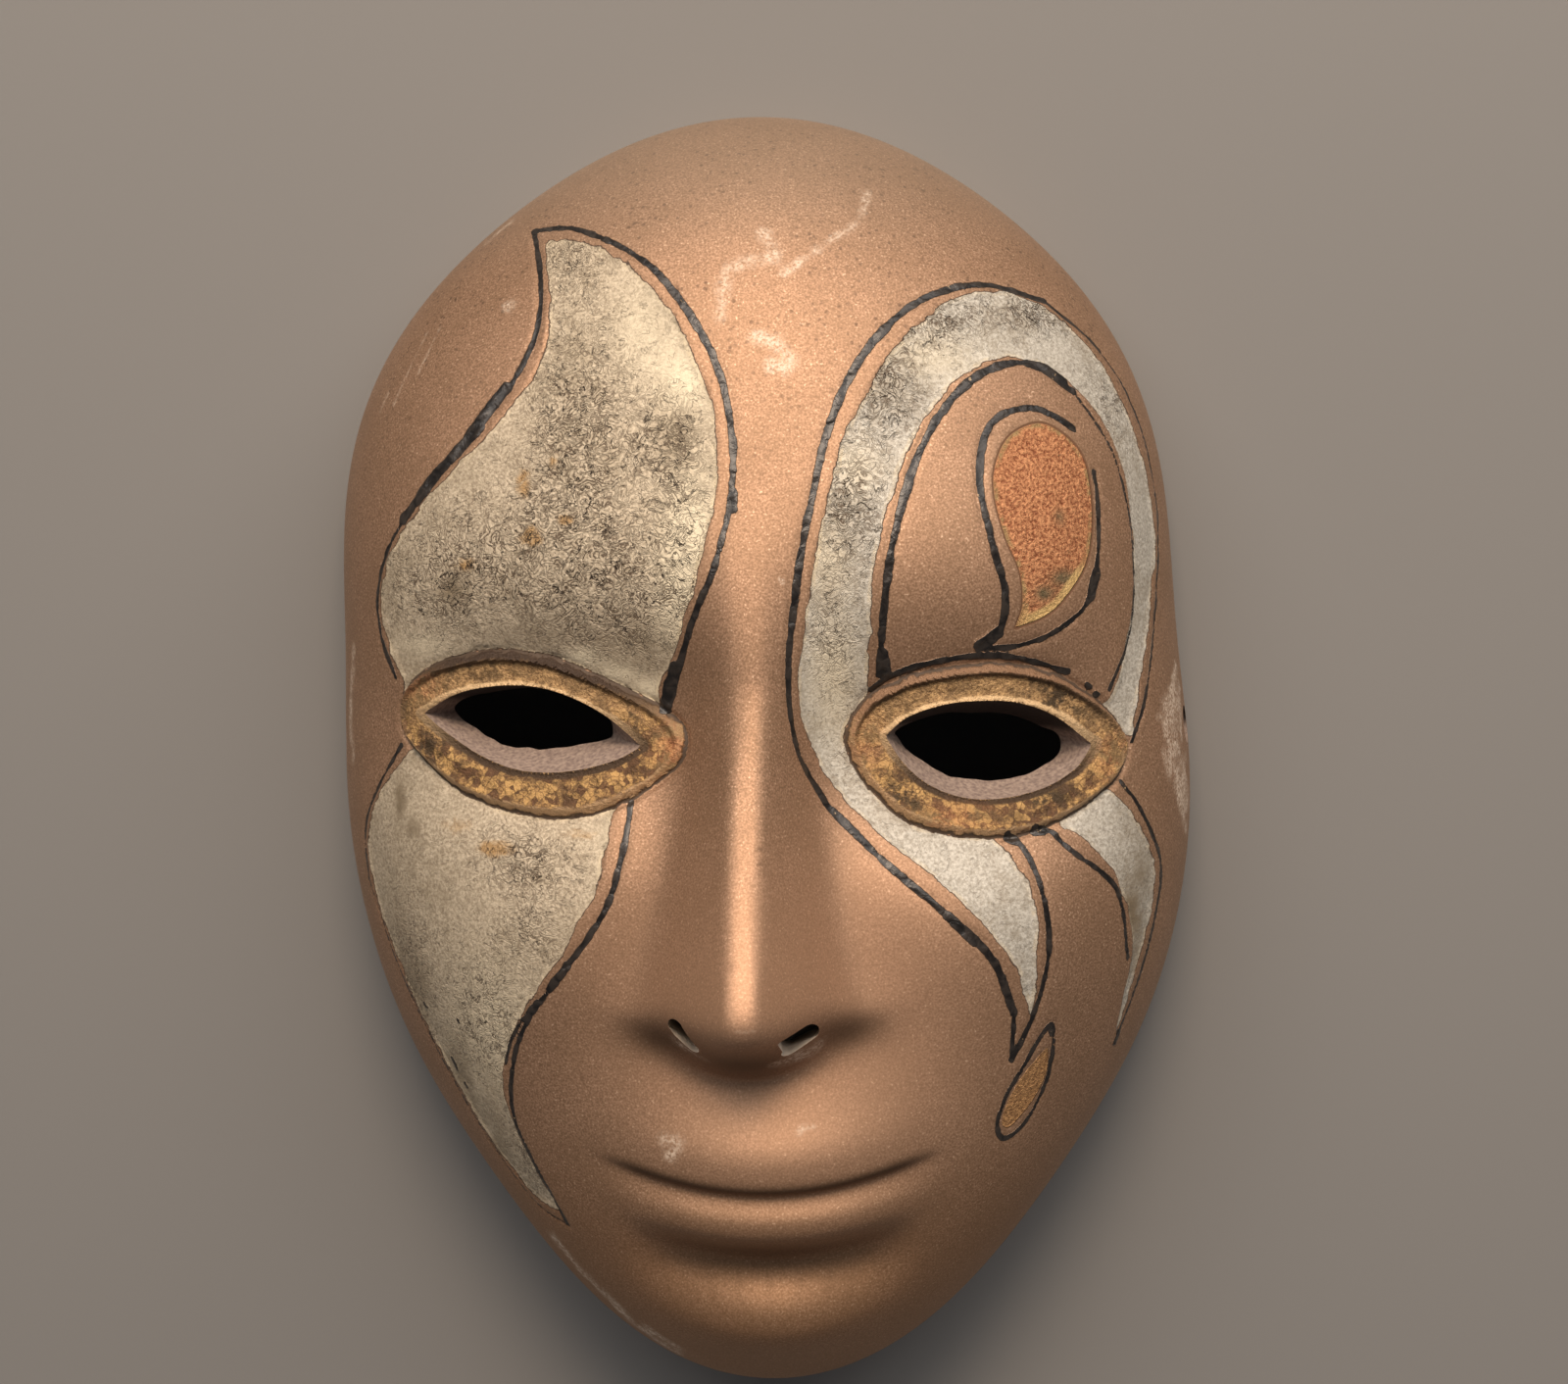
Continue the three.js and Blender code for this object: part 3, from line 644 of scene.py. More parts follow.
# %% Normals, lines and fields
def point_normals(points, tris):
    """Unit normals: the sum of the normals of the triangles round each point, by area."""
    a, b, c = points[tris[:, 0]], points[tris[:, 1]], points[tris[:, 2]]
    flat = np.cross(b - a, c - a)
    total = np.zeros_like(points)
    for corner in range(3):
        for axis in range(3):
            total[:, axis] += np.bincount(tris[:, corner], flat[:, axis], minlength=len(points))
    return total / np.linalg.norm(total, axis=1, keepdims=True)


normals = point_normals(base, outer_tris)
uneven = 0.6 * noise(base, 4.0, 3) + 0.4 * noise(base, 1.6, 4)

line_paint = np.full(len(base), -FAR)
line_groove = np.full(len(base), FAR)
for curve, half in LINES:
    away = distance(base, curve)
    line_groove = np.minimum(line_groove, away / half)
    line_paint = np.maximum(line_paint, half * (0.6 + 0.85 * uneven) - away)
for curve, half in BEADS:
    line_paint = np.maximum(line_paint, half * (0.7 + 0.6 * uneven) - distance(base, curve))

silver = np.max([depth_inside(base, shape) for shape in SILVER_FIELDS], axis=0)
rust = depth_inside(base, rust_drop)
amber = depth_inside(base, small_drop)
print("painted black:", int((line_paint > 0).sum()), "points; silver:", int((silver > 0).sum()))

# %% Shares across the eye bands
# the crackle paint stops this far from a band, in millimetres
BAND_GAP = 0.42
band_share = np.full(len(base), -1.0)
band_edge = np.full(len(base), -FAR)
gilt = np.zeros(len(base))
for eye in EYES:
    from_outside = depth_inside(base, eye["band"], 12.0)
    from_opening = -depth_inside(base, eye["front"], 12.0)
    share = from_outside / np.maximum(from_outside + from_opening, 0.3)
    share = np.where(from_opening < 0, 1.0, np.clip(share, 0, 1))
    band_share = np.where(from_outside > 0, share, band_share)
    band_edge = np.maximum(band_edge, from_outside)
    gilt = np.where(from_outside > -1, step(7, -5, base[:, 1] - eye["middle"][1]), gilt)
on_band = band_share >= 0
silver = np.minimum(silver, -band_edge - BAND_GAP)
torn = 0.9 * (noise(base, 3.2, 51) - 0.5) * step(-1.5, -0.8, silver)
silver_edge = silver + torn * step(-0.2, -1.2, band_edge)
print("points on the bands:", int(on_band.sum()))


# %% Patches of age and wear
def patches(points, table):
    """Soft ovals added up, and held between 0 and 1."""
    return np.clip(sum(oval(points[:, 0], points[:, 1], shape) for shape in table), 0, 1)


curl = patches(base, CURL)
cream = patches(base, CREAM)
ochre = patches(base, OCHRE)
soot = patches(base, SOOT) * step(0.05, 0.55, uneven)
# painted shade along the mouth line, joined to the patches of painted shade
above = base[:, 1] - MOUTH_Y - SMILE * (base[:, 0] - MOUTH_X) ** 2
mouth_line_shade = bell((above - 0.5) / 1.2) * step(29, 20, np.abs(base[:, 0] - MOUTH_X))
painted_shade = np.maximum(patches(base, SHADE_PATCHES), mouth_line_shade)
# how far each point is inside a worn place with a frayed edge; a thin scratch counts for more
THIN = 1.5
frayed = 0.5 + noise(base, 2.0, 41)
wear = np.max([max(1, THIN / half) * (half * frayed - distance(base, mark)) for mark, half in WEAR],
              axis=0)
print("curled paint on", int((curl > 0.5).sum()), "points")

# %% [markdown]
# The relief. Each point is moved along the face's own normal. The eye band is a profile across its
# width: an outer ridge, a channel for the paint and an inner ridge at the opening. The fields lie
# a little below the face, and their paint is thick at the edge and wrinkled where it has crackled.
# The finest wrinkles are left to the bump of the materials, which cost no triangles.

# %% Relief of the whole outside
# the band's profile: shares of its width, and the height at each over and under the eye
BAND_SHARES = [0.0, 0.08, 0.16, 0.25, 0.36, 0.48, 0.68, 0.8, 0.9, 0.96, 1.0]
UPPER_HEIGHTS = [0.1, 1.2, 1.1, 0.5, 0.55, 0.75, 0.95, 1.3, 1.75, 1.8, 1.5]
LOWER_HEIGHTS = [0.1, 1.2, 1.3, 1.0, 1.1, 1.2, 1.2, 1.0, 0.6, 0.7, 0.9]
wrinkle = 1 - np.abs(2 * noise(base + 2.0 * noise(base, 2.2, 5)[:, None], 1.5, 7) - 1)
crust = 0.16 * wrinkle**2 * curl + 0.1 * (noise(base, 0.9, 13) - 0.5)
in_field = step(-0.3, 0.3, np.maximum(np.maximum(silver, rust), amber))
lip = bell((silver - 0.4) / 0.32) * step(0.3, 0.7, noise(base, 2.4, 17))
flakes = step(0.35, 0.6, noise(base, 1.7, 19))
grains = noise(base, 0.75, 23)
channel = bell((band_share - 0.57) / 0.16) * on_band
beaded = step(0.35, 0.6, noise(base, 3.2, 29))

lift = -0.32 * in_field + 0.26 * lip + crust * step(0.2, 1.0, silver)
lift = lift + 0.3 * grains * step(0, 0.6, rust) + 0.2 * grains * step(0, 0.5, amber)
black_lift = (0.1 + 0.3 * beaded) * np.sqrt(np.clip(line_paint / 0.6, 0, 1))
lift = lift - 0.32 * bell(line_groove / 1.25) + black_lift
upper_lift = np.interp(band_share, BAND_SHARES, UPPER_HEIGHTS)
lower_lift = np.interp(band_share, BAND_SHARES, LOWER_HEIGHTS)
band_lift = upper_lift + gilt * (lower_lift - upper_lift)
lift = np.where(on_band, band_lift + channel * (0.25 * flakes - 0.1) + 0.1 * (grains - 0.5), lift)
lift = lift - 0.4 * bell((band_edge + 0.55) / 0.5) * step(0.5, -0.1, band_edge)
lift = lift * step(0.3, 2.5, base[:, 2])
outside = base + normals * lift[:, None]
print("relief from", round(float(lift.min()), 2), "to", round(float(lift.max()), 2), "mm")

# %% [markdown]
# The inside. A slip-cast wall is as thick everywhere, so the inner face is where the middle of a
# ball would run that rolls under the outer face. For each point that is the lowest of the outer
# heights round it, each less the ball's own height in that direction.

# %% Inner wall
def ball_directions(turns=12):
    """Unit directions over the upper half of a ball, ring by ring, with the pole."""
    rise, turn = np.meshgrid(np.radians([0, 20, 40, 60, 75]), np.arange(turns) * 2 * np.pi / turns)
    flat = np.cos(rise)
    ring = np.stack([flat * np.cos(turn), flat * np.sin(turn), np.sin(rise)], axis=-1)
    return np.vstack([[0, 0, 1], ring.reshape(-1, 3)])


def inner_height(x, y):
    """Lowest outer height over a ball as wide as the wall, less the ball's height there."""
    heights = [face_height(x + WALL * d[0], y + WALL * d[1]) - WALL * d[2] for d in ball_directions()]
    return np.min(heights, axis=0)


INNER_GRID = (61, 81)
inner_uv, inner_tris = square_grid(*INNER_GRID)
x, y = on_dome(inner_uv[:, 0], inner_uv[:, 1], WALL)
inner_edge = np.abs(inner_uv).max(axis=1) == 1
inside = np.column_stack([x, y, np.where(inner_edge, -1, inner_height(x, y))])
print("inside:", len(inside), "points")

# %% [markdown]
# The shell is the outer body less the inner body, less a cutter for each opening. An eye opening is
# wide in front and narrower behind, because the caster trims it with a knife in the soft clay. That
# leaves the pale ledge that shows below and beside each eye.

# %% Closed bodies
PAINTED, TRIMMED, INSIDE = 0, 1, 2


def closed(points, tris, edge_finish):
    """Joins the open edge of a cap to one point in the middle, so that the body is closed."""
    sides = np.stack([tris, np.roll(tris, -1, axis=1)], axis=2).reshape(-1, 2)
    key = np.sort(sides, axis=1) @ [len(points), 1]
    _, first, count = np.unique(key, return_index=True, return_counts=True)
    open_sides = sides[first[count == 1]]
    middle = np.array([[0, 0, points[open_sides[:, 0], 2].mean()]])
    fan = np.column_stack([open_sides[:, 1], open_sides[:, 0], np.full(len(open_sides), len(points))])
    finish = np.repeat([PAINTED, edge_finish], [len(tris), len(fan)])
    return np.vstack([points, middle]), np.vstack([tris, fan]), finish


def tube(rings):
    """Rings of equal count joined into a closed body, with a fan over each end."""
    count = len(rings[0])
    r, k = np.meshgrid(np.arange(len(rings) - 1), np.arange(count), indexing="ij")
    a, b = r * count + k, r * count + (k + 1) % count
    halves = ((a, b, b + count), (a, b + count, a + count))
    walls = np.vstack([np.stack(half, -1).reshape(-1, 3) for half in halves])
    k = np.arange(count)
    last, size = (len(rings) - 1) * count, len(rings) * count
    floor = np.column_stack([np.full(count, size), (k + 1) % count, k])
    roof = np.column_stack([np.full(count, size + 1), last + k, last + (k + 1) % count])
    points = np.vstack([*rings, rings[0].mean(axis=0), rings[-1].mean(axis=0)])
    return points, np.vstack([walls, floor, roof])


# each cutter is a closed body and the finish that it leaves
inner_body = closed(inside, inner_tris, INSIDE)[:2]
cutters = [(inner_body, INSIDE)]
print("inner body:", len(inner_body[1]), "triangles")


# %% Cutters of the eye openings
def around(shape, middle, count):
    """The shape's points at even turns round a middle, by the distance at each turn."""
    off = shape - np.array(middle)
    turn = np.arctan2(off[:, 1], off[:, 0])
    order = np.argsort(turn)
    even = np.arange(count) * 2 * np.pi / count - np.pi
    reach = np.interp(even, turn[order], np.hypot(*off.T)[order], period=2 * np.pi)
    return np.array(middle) + reach[:, None] * np.column_stack([np.cos(even), np.sin(even)])


def over_face(xy, height):
    """A ring of points at a height over the face."""
    points = on_face(xy)
    points[:, 2] += height
    return points


def eye_cutter(eye, count=180):
    """From behind the wall to in front of the face: the back outline up to the wall, then a slope
    with a sandy unevenness out to the front outline, then straight on."""
    back, front = around(eye["back"], eye["middle"], count), around(eye["front"], eye["middle"], count)
    back = back + 0.5 * (noise(np.column_stack([back, 0 * back[:, 0]]), 2.2, 37)[:, None] - 0.5)
    rings = [over_face(back, -4 * WALL), over_face(back, -WALL - 0.3)]
    for t in np.linspace(0.12, 0.88, 7):
        wide = t ** 0.8
        ring = over_face(back + (front - back) * wide, -WALL - 0.3 + (WALL + 1.5) * t)
        rings.append(ring + 0.16 * (noise(ring, 1.1, 31)[:, None] - 0.5) * [1, 1, 0])
    return tube(rings + [over_face(front, 1.2), over_face(front, 3 * WALL)])


cutters += [(eye_cutter(eye), TRIMMED) for eye in EYES]
print("cutters with those of the eyes:", len(cutters))

# %% Cutters of the nostrils and temple holes
# middle, turn in degrees, length, width and outward lean of each nostril
NOSTRILS = ((-11, -38.8, -40, 6.6, 2.4, 1.4), (6.5, -39.4, 23, 6.8, 2.9, 2.2))
TEMPLE_Y, TEMPLE_HEIGHT, TEMPLE_DIAMETER, TEMPLE_SLOPE = 3.5, 16, 6.5, 18


def slot_cutter(x, y, turn, length, width, lean):
    """A slot with round ends through the wall, whose side toward the chin slopes outward."""
    half_turn = np.radians(np.arange(0, 181, 15) - 90)
    run = length / 2 - width / 2
    end = np.column_stack([run + width / 2 * np.cos(half_turn), width / 2 * np.sin(half_turn)])
    ring = np.vstack([end, -end])
    a = np.radians(turn)
    ring = ring @ np.array([[np.cos(a), np.sin(a)], [-np.sin(a), np.cos(a)]]) + [x, y]
    chinward = np.array([np.sin(a), -np.cos(a)]) * (ring[:, 1:] < y) * lean
    heights = (-3 * WALL, -0.9 * WALL, 0.3 * WALL, 3 * WALL)
    surface = float(face_height(x, y))
    return tube([np.column_stack([ring + chinward * out, np.full(len(ring), surface + z)])
                 for z, out in zip(heights, (0, 0, 1, 1))])


def temple_cutter(side, sides=40):
    """A round hole through the side wall, square to its slope."""
    slope = np.radians(TEMPLE_SLOPE)
    axis = np.array([side * np.cos(slope), 0, np.sin(slope)])
    up = np.array([-side * np.sin(slope), 0, np.cos(slope)])
    along = np.cross(axis, up)
    middle = np.array([side * rim_reach(np.pi / 2) - float(sway(TEMPLE_Y)), TEMPLE_Y, TEMPLE_HEIGHT])
    a = (np.arange(sides) * 2 * np.pi / sides)[:, None]
    ring = TEMPLE_DIAMETER / 2 * (np.cos(a) * up + np.sin(a) * along)
    return tube([middle + ring + axis * far for far in (-4 * WALL, 4 * WALL)])


cutters += [(slot_cutter(*nostril), INSIDE) for nostril in NOSTRILS]
cutters += [(temple_cutter(side), TRIMMED) for side in (-1, 1)]
print("all cutters:", len(cutters))


# %% Meshes and the cutting
def make_object(name, points, tris, finish, materials):
    """A mesh object from points in millimetres, with a finish number for each triangle."""
    mesh = bpy.data.meshes.new(name)
    mesh.from_pydata(points * MM, [], tris.astype(int))
    for material in materials:
        mesh.materials.append(material)
    mesh.polygons.foreach_set("material_index", np.broadcast_to(finish, len(tris)).astype(np.int32))
    made = bpy.data.objects.new(name, mesh)
    bpy.context.scene.collection.objects.link(made)
    return made


painted = bpy.data.materials.new("sprayed_copper_bronze_on_ceramic")
trimmed = bpy.data.materials.new("knife_trimmed_bare_ceramic")
bare = bpy.data.materials.new("unpainted_cast_ceramic")
FINISHES = [painted, trimmed, bare]

mask = make_object("painted_mask", *closed(outside, outer_tris, INSIDE), FINISHES)
MARKS = {
    "line": line_paint, "silver": silver_edge, "rust": rust, "amber": amber,
    "band": band_share, "gap": band_edge, "gilt": gilt,
    "curl": curl, "cream": cream, "ochre": ochre, "soot": soot, "painted_shade": painted_shade, "wear": wear,
}
for name, values in MARKS.items():
    mark = mask.data.attributes.new(name, "FLOAT", "POINT")
    mark.data.foreach_set("value", np.append(values, 0).astype(np.float32))
known = mask.data.attributes.new("known", "FLOAT", "POINT")
known.data.foreach_set("value", np.ones(len(mask.data.vertices), np.float32))

tools = [make_object(f"cutter_{i}", *body, finish, FINISHES) for i, (body, finish) in enumerate(cutters)]
for tool in tools:
    cut = mask.modifiers.new(tool.name, "BOOLEAN")
    cut.object, cut.operation, cut.solver = tool, "DIFFERENCE", "MANIFOLD"
depsgraph = bpy.context.evaluated_depsgraph_get()
whole = bpy.data.meshes.new_from_object(mask.evaluated_get(depsgraph))
mask.modifiers.clear()
mask.data = whole
whole.name = "painted_mask"
for tool in tools:
    bpy.data.objects.remove(tool)
print("whole mask:", len(whole.vertices), "points,", len(whole.polygons), "faces")


# %% Marks on the new corners
def read(data, field, width=1, kind=np.float32):
    """A mesh list as an array."""
    values = np.empty(len(data) * width, kind)
    data.foreach_get(field, values)
    return values.reshape(-1, width) if width > 1 else values


ends = read(whole.edges, "vertices", 2, np.int32)
ends = np.vstack([ends, ends[:, ::-1]])
is_known = read(whole.attributes["known"].data, "value") > 0.5
ends = ends[is_known[ends[:, 0]]]
known_near = np.bincount(ends[:, 1], minlength=len(whole.vertices))
beside_known = ~is_known & (known_near > 0)
for name in MARKS:
    data = whole.attributes[name].data
    values = read(data, "value")
    total = np.bincount(ends[:, 1], values[ends[:, 0]], minlength=len(values))
    values[beside_known] = (total / np.maximum(known_near, 1))[beside_known]
    data.foreach_set("value", values.astype(np.float32))
whole.attributes.remove(whole.attributes["known"])
print("corners made by the cutting:", int((~is_known).sum()))

# %% Creases where two finishes meet
SHARP = np.radians(55)
whole.shade_smooth()
whole.set_sharp_from_angle(angle=SHARP)
finish = read(whole.polygons, "material_index", 1, np.int32)
finish_of = np.repeat(finish, read(whole.polygons, "loop_total", 1, np.int32))
edge_of = read(whole.loops, "edge_index", 1, np.int32)
total = np.bincount(edge_of, finish_of, minlength=len(whole.edges))
squares = np.bincount(edge_of, finish_of**2, minlength=len(whole.edges))
two_finishes = 2 * squares != total**2
creases = whole.attributes["sharp_edge"].data
was_sharp = read(creases, "value", 1, bool)
creases.foreach_set("value", was_sharp | two_finishes)
print("edges where two finishes meet:", int(two_finishes.sum()))

# %% [markdown]
# The finishes. The mask is earthenware that is sprayed with a matt copper-bronze paint: fine metal
# flakes in a brown binder, so its highlights are wide and coppery and its shaded sides go brown.
# One material holds all the paint of the outside, because the layers lie over each other: each
# layer has a mask, a colour, a roughness, a metallic share and a height, and is mixed over the last.

# %% Colours and nodes
def rgb(hex_colour):
    """Linear colour from sRGB hex: c / 12.92 where c is small, and otherwise ((c + 0.055) / 1.055)^2.4."""
    parts = [int(hex_colour[i:i + 2], 16) / 255 for i in (1, 3, 5)]
    return [*(c / 12.92 if c <= 0.04045 else ((c + 0.055) / 1.055) ** 2.4 for c in parts), 1]


def fill(owner, node, values):
    """Links each input of a node to the socket given for it, or sets it to the value given."""
    for name, value in values.items():
        if isinstance(value, bpy.types.NodeSocket):
            owner.node_tree.links.new(value, node.inputs[name])
        else:
            node.inputs[name].default_value = value


def add(material, kind, inputs=None, output=0, **settings):
    """Adds a node with its settings, fills or links its inputs, and gives one of its outputs."""
    made = material.node_tree.nodes.new("ShaderNode" + kind)
    for name, value in settings.items():
        setattr(made, name, value)
    fill(material, made, inputs or {})
    return made.outputs[output]


SOFT = {"interpolation_type": "SMOOTHSTEP"}
COLOUR = {"data_type": "RGBA"}
for material in FINISHES:
    material.use_nodes = True
m = painted
place_on_mask = add(m, "TexCoord", output="Object")
mark = {name: add(m, "Attribute", output="Fac", attribute_name=name) for name in MARKS}
print("marks that the paint reads:", len(mark))

# %% Patterns, from the real size of each
# 0.4 mm flakes and 0.3 mm grit are drawn a little coarser than they are, so that they show
flake = add(m, "TexNoise", {"Vector": place_on_mask, "Scale": 2900, "Detail": 2})
grit = add(m, "TexNoise", {"Vector": place_on_mask, "Scale": 1900, "Detail": 4, "Roughness": 0.65})
grain = add(m, "MapRange", {"Value": grit, "From Min": 0.32, "From Max": 0.68}, **SOFT)
cloud = add(m, "TexNoise", {"Vector": place_on_mask, "Scale": 90, "Detail": 4})
curls = add(m, "TexNoise", {"Vector": place_on_mask, "Scale": 450, "Detail": 3, "Distortion": 2.6})
specks = add(m, "TexVoronoi", {"Vector": place_on_mask, "Scale": 760}, "Distance")
crumbs = add(m, "TexNoise", {"Vector": place_on_mask, "Scale": 480, "Detail": 3, "Distortion": 0.6})
flaky = add(m, "TexNoise", {"Vector": place_on_mask, "Scale": 330, "Detail": 6, "Roughness": 0.72})
grimy = add(m, "MapRange", {"Value": flaky, "From Min": 0.56, "From Max": 0.42}, **SOFT)
# old gilding breaks into plates of 1 to 2 mm, and each plate has a shade of its own
shift = add(m, "TexNoise", {"Vector": place_on_mask, "Scale": 700, "Detail": 2}, "Color")
wander = (0.0012, 0.0012, 0.0012)
shifted = add(m, "VectorMath", {0: shift, 1: wander, 2: place_on_mask}, operation="MULTIPLY_ADD")
plates = add(m, "TexVoronoi", {"Vector": shifted, "Scale": 800}, "Color")
plate = add(m, "SeparateColor", {"Color": plates}, "Red")
seams = add(m, "TexVoronoi", {"Vector": shifted, "Scale": 800}, "Distance", feature="DISTANCE_TO_EDGE")
print("pattern nodes:", len(m.node_tree.nodes))

# %% Sprayed bronze
tone = add(m, "MapRange", {"Value": flake, "From Min": 0.3, "From Max": 0.7}, **SOFT)
bronze = add(m, "Mix", {0: tone, 6: rgb("#8a6c53"), 7: rgb("#b49074")}, 2, **COLOUR)
mottled = add(m, "MapRange", {"Value": cloud, "From Min": 0.4, "From Max": 0.62, "To Max": 0.25}, **SOFT)
glint = add(m, "MapRange", {"Value": flake, "From Min": 0.66, "From Max": 0.74, "To Max": 0.6}, **SOFT)
speck = add(m, "MapRange", {"Value": specks, "From Min": 0.36, "From Max": 0.14, "To Max": 0.6}, **SOFT)
up_mask = add(m, "SeparateXYZ", {"Vector": place_on_mask}, "Y")
crown = add(m, "MapRange", {"Value": up_mask, "From Min": 0.03, "From Max": 0.08}, **SOFT)
patchy = add(m, "MapRange", {"Value": cloud, "From Min": 0.36, "From Max": 0.54}, **SOFT)
uneven_specks = add(m, "MapRange", {"Value": flaky, "From Min": 0.4, "From Max": 0.55}, **SOFT)
for share in (uneven_specks, crown, patchy):
    speck = add(m, "Math", {0: speck, 1: share}, operation="MULTIPLY")
# the crown is greyer and lighter, and the chin darker and browner
greyer_crown = add(m, "MapRange", {"Value": up_mask, "From Min": 0.078, "From Max": 0.105, "To Max": 0.3}, **SOFT)
browner_chin = add(m, "MapRange", {"Value": up_mask, "From Min": -0.055, "From Max": -0.085, "To Max": 0.35}, **SOFT)
# painted light: the middle of the face, round the upper lip, is painted lighter
flat_place = add(m, "VectorMath", {0: place_on_mask, 1: (1, 1, 0)}, operation="MULTIPLY")
from_lip = add(m, "VectorMath", {0: flat_place, 1: (0.006, -0.04, 0)}, "Value", operation="DISTANCE")
painted_light_mid_face = add(m, "MapRange", {"Value": from_lip, "From Min": 0.043, "From Max": 0.01, "To Max": 0.35}, **SOFT)
# painted shade under the nose, beside its wings, along the mouth line and in the fold below the lip darkens
# the bronze
painted_shade_share = add(m, "Math", {0: mark["painted_shade"], 1: 0.85}, operation="MULTIPLY")
for share, tint in (
    (mottled, "#8e7055"), (glint, "#efd3b6"), (speck, "#4a3528"), (greyer_crown, "#b3a491"),
    (browner_chin, "#8f653a"), (painted_light_mid_face, "#d8aa88"), (painted_shade_share, "#43301f"),
):
    bronze = add(m, "Mix", {0: share, 6: bronze, 7: rgb(tint)}, 2, **COLOUR)
bronze_height = add(m, "MapRange", {"Value": flake, "To Max": 0.01})
print("nodes with the bronze:", len(m.node_tree.nodes))

# %% [markdown]
# The crackle paint is a brittle silver-grey coat over a softer one: as it dries it shrinks, splits and
# curls up. A pattern of cells would look like tiles, so the cracks are level lines of a warped noise,
# which run and break off as real ones do. The paint is dull and only slightly metallic. It is warmer
# on one side of the face and cooler on the other, and soot, cream and ochre have settled in it.

# %% Silver crackle paint
side = add(m, "SeparateXYZ", {"Vector": place_on_mask}, "X")
cool = add(m, "MapRange", {"Value": side, "From Min": -0.004, "From Max": 0.006}, **SOFT)
warm_paint = add(m, "Mix", {0: grain, 6: rgb("#9c8d77"), 7: rgb("#cfc0a7")}, 2, **COLOUR)
cool_paint = add(m, "Mix", {0: grain, 6: rgb("#9f988b"), 7: rgb("#cdc8bc")}, 2, **COLOUR)
silver_paint = add(m, "Mix", {0: cool, 6: warm_paint, 7: cool_paint}, 2, **COLOUR)
dirty = add(m, "Math", {0: cloud, 1: flaky}, operation="ADD")
dirty = add(m, "MapRange", {"Value": dirty, "From Min": 0.98, "From Max": 1.2, "To Max": 0.3}, **SOFT)
stain = add(m, "Math", {0: mark["ochre"], 1: crumbs}, operation="MULTIPLY")
stain = add(m, "MapRange", {"Value": stain, "From Min": 0.12, "From Max": 0.42, "To Max": 0.8}, **SOFT)
brim = add(m, "MapRange", {"Value": mark["silver"], "From Min": 0.75, "From Max": 0.35}, **SOFT)
creamy = add(m, "Math", {0: mark["cream"], 1: 0.35}, operation="ADD")
for share in (grimy, creamy):
    brim = add(m, "Math", {0: brim, 1: share}, operation="MULTIPLY")
print("nodes with the silver:", len(m.node_tree.nodes))

# %% Cracks in the silver
level = add(m, "Math", {0: curls, 1: 0.5}, operation="SUBTRACT")
level = add(m, "Math", {0: level}, operation="ABSOLUTE")
crack = add(m, "MapRange", {"Value": level, "From Min": 0.055, "From Max": 0.01}, **SOFT)
sparse = add(m, "MapRange", {"Value": flaky, "From Min": 0.42, "From Max": 0.56, "To Min": 0.25}, **SOFT)
curled = add(m, "MapRange", {"Value": mark["curl"], "From Min": -0.15, "From Max": 0.8})
# the longest cracks stand open: thin, dark and broken off after a few millimetres
WARPED = {"Scale": 290, "Detail": 3, "Roughness": 0.6, "Distortion": 1.6}
split = add(m, "TexNoise", {"Vector": place_on_mask, **WARPED})
split = add(m, "Math", {0: split, 1: 0.5}, operation="SUBTRACT")
split = add(m, "Math", {0: split}, operation="ABSOLUTE")
split = add(m, "MapRange", {"Value": split, "From Min": 0.022, "From Max": 0.006}, **SOFT)
broken = add(m, "MapRange", {"Value": crumbs, "From Min": 0.48, "From Max": 0.56}, **SOFT)
for share in (sparse, curled):
    crack = add(m, "Math", {0: crack, 1: share}, operation="MULTIPLY")
for share in (broken, curled):
    split = add(m, "Math", {0: split, 1: share}, operation="MULTIPLY")
for share, tint in (
    (dirty, "#85765e"), (mark["cream"], "#ddd0b4"), (mark["soot"], "#85765f"), (stain, "#a9834e"),
    (brim, "#d9c8a8"), (crack, "#5a4a39"), (split, "#33271c"),
):
    silver_paint = add(m, "Mix", {0: share, 6: silver_paint, 7: rgb(tint)}, 2, **COLOUR)
curl_height = add(m, "MapRange", {"Value": level, "From Max": 0.1, "To Max": 0.18}, **SOFT)
silver_height = add(m, "Math", {0: curl_height, 1: mark["curl"]}, operation="MULTIPLY")
silver_height = add(m, "Math", {0: grit, 1: 0.1, 2: silver_height}, operation="MULTIPLY_ADD")
silver_height = add(m, "Math", {0: split, 1: -0.25, 2: silver_height}, operation="MULTIPLY_ADD")
print("nodes with the cracks:", len(m.node_tree.nodes))

# %% [markdown]
# Three more finishes. The drop is copper grit in glue, so it is rough and glints in grains. The bands
# are gilded with metal leaf that has broken into small plates, each with a shade of its own, and has
# gone brown in the seams. Over each eye little leaf is left, and the ochre ground shows. The lines are
# glossy black enamel, the smoothest paint of all, so that they alone show small sharp highlights.

# %% Copper grains
rust_paint = add(m, "Mix", {0: grain, 6: rgb("#84492a"), 7: rgb("#e0a273")}, 2, **COLOUR)
tarnish = add(m, "MapRange", {"Value": flaky, "From Min": 0.64, "From Max": 0.7, "To Max": 0.7}, **SOFT)
rust_rim = add(m, "Math", {0: mark["cream"], 1: -0.8, 2: mark["rust"]}, operation="MULTIPLY_ADD")
rust_rim = add(m, "MapRange", {"Value": rust_rim, "From Min": 1.1, "From Max": 0.3}, **SOFT)
rim_seen = add(m, "Math", {0: grimy, 1: mark["cream"]}, operation="MAXIMUM")
rust_rim = add(m, "Math", {0: rust_rim, 1: rim_seen}, operation="MULTIPLY")
rim_paint = add(m, "Mix", {0: mark["cream"], 6: rgb("#a88a5f"), 7: rgb("#d8b67a")}, 2, **COLOUR)
green_brown = rgb("#6f6247")
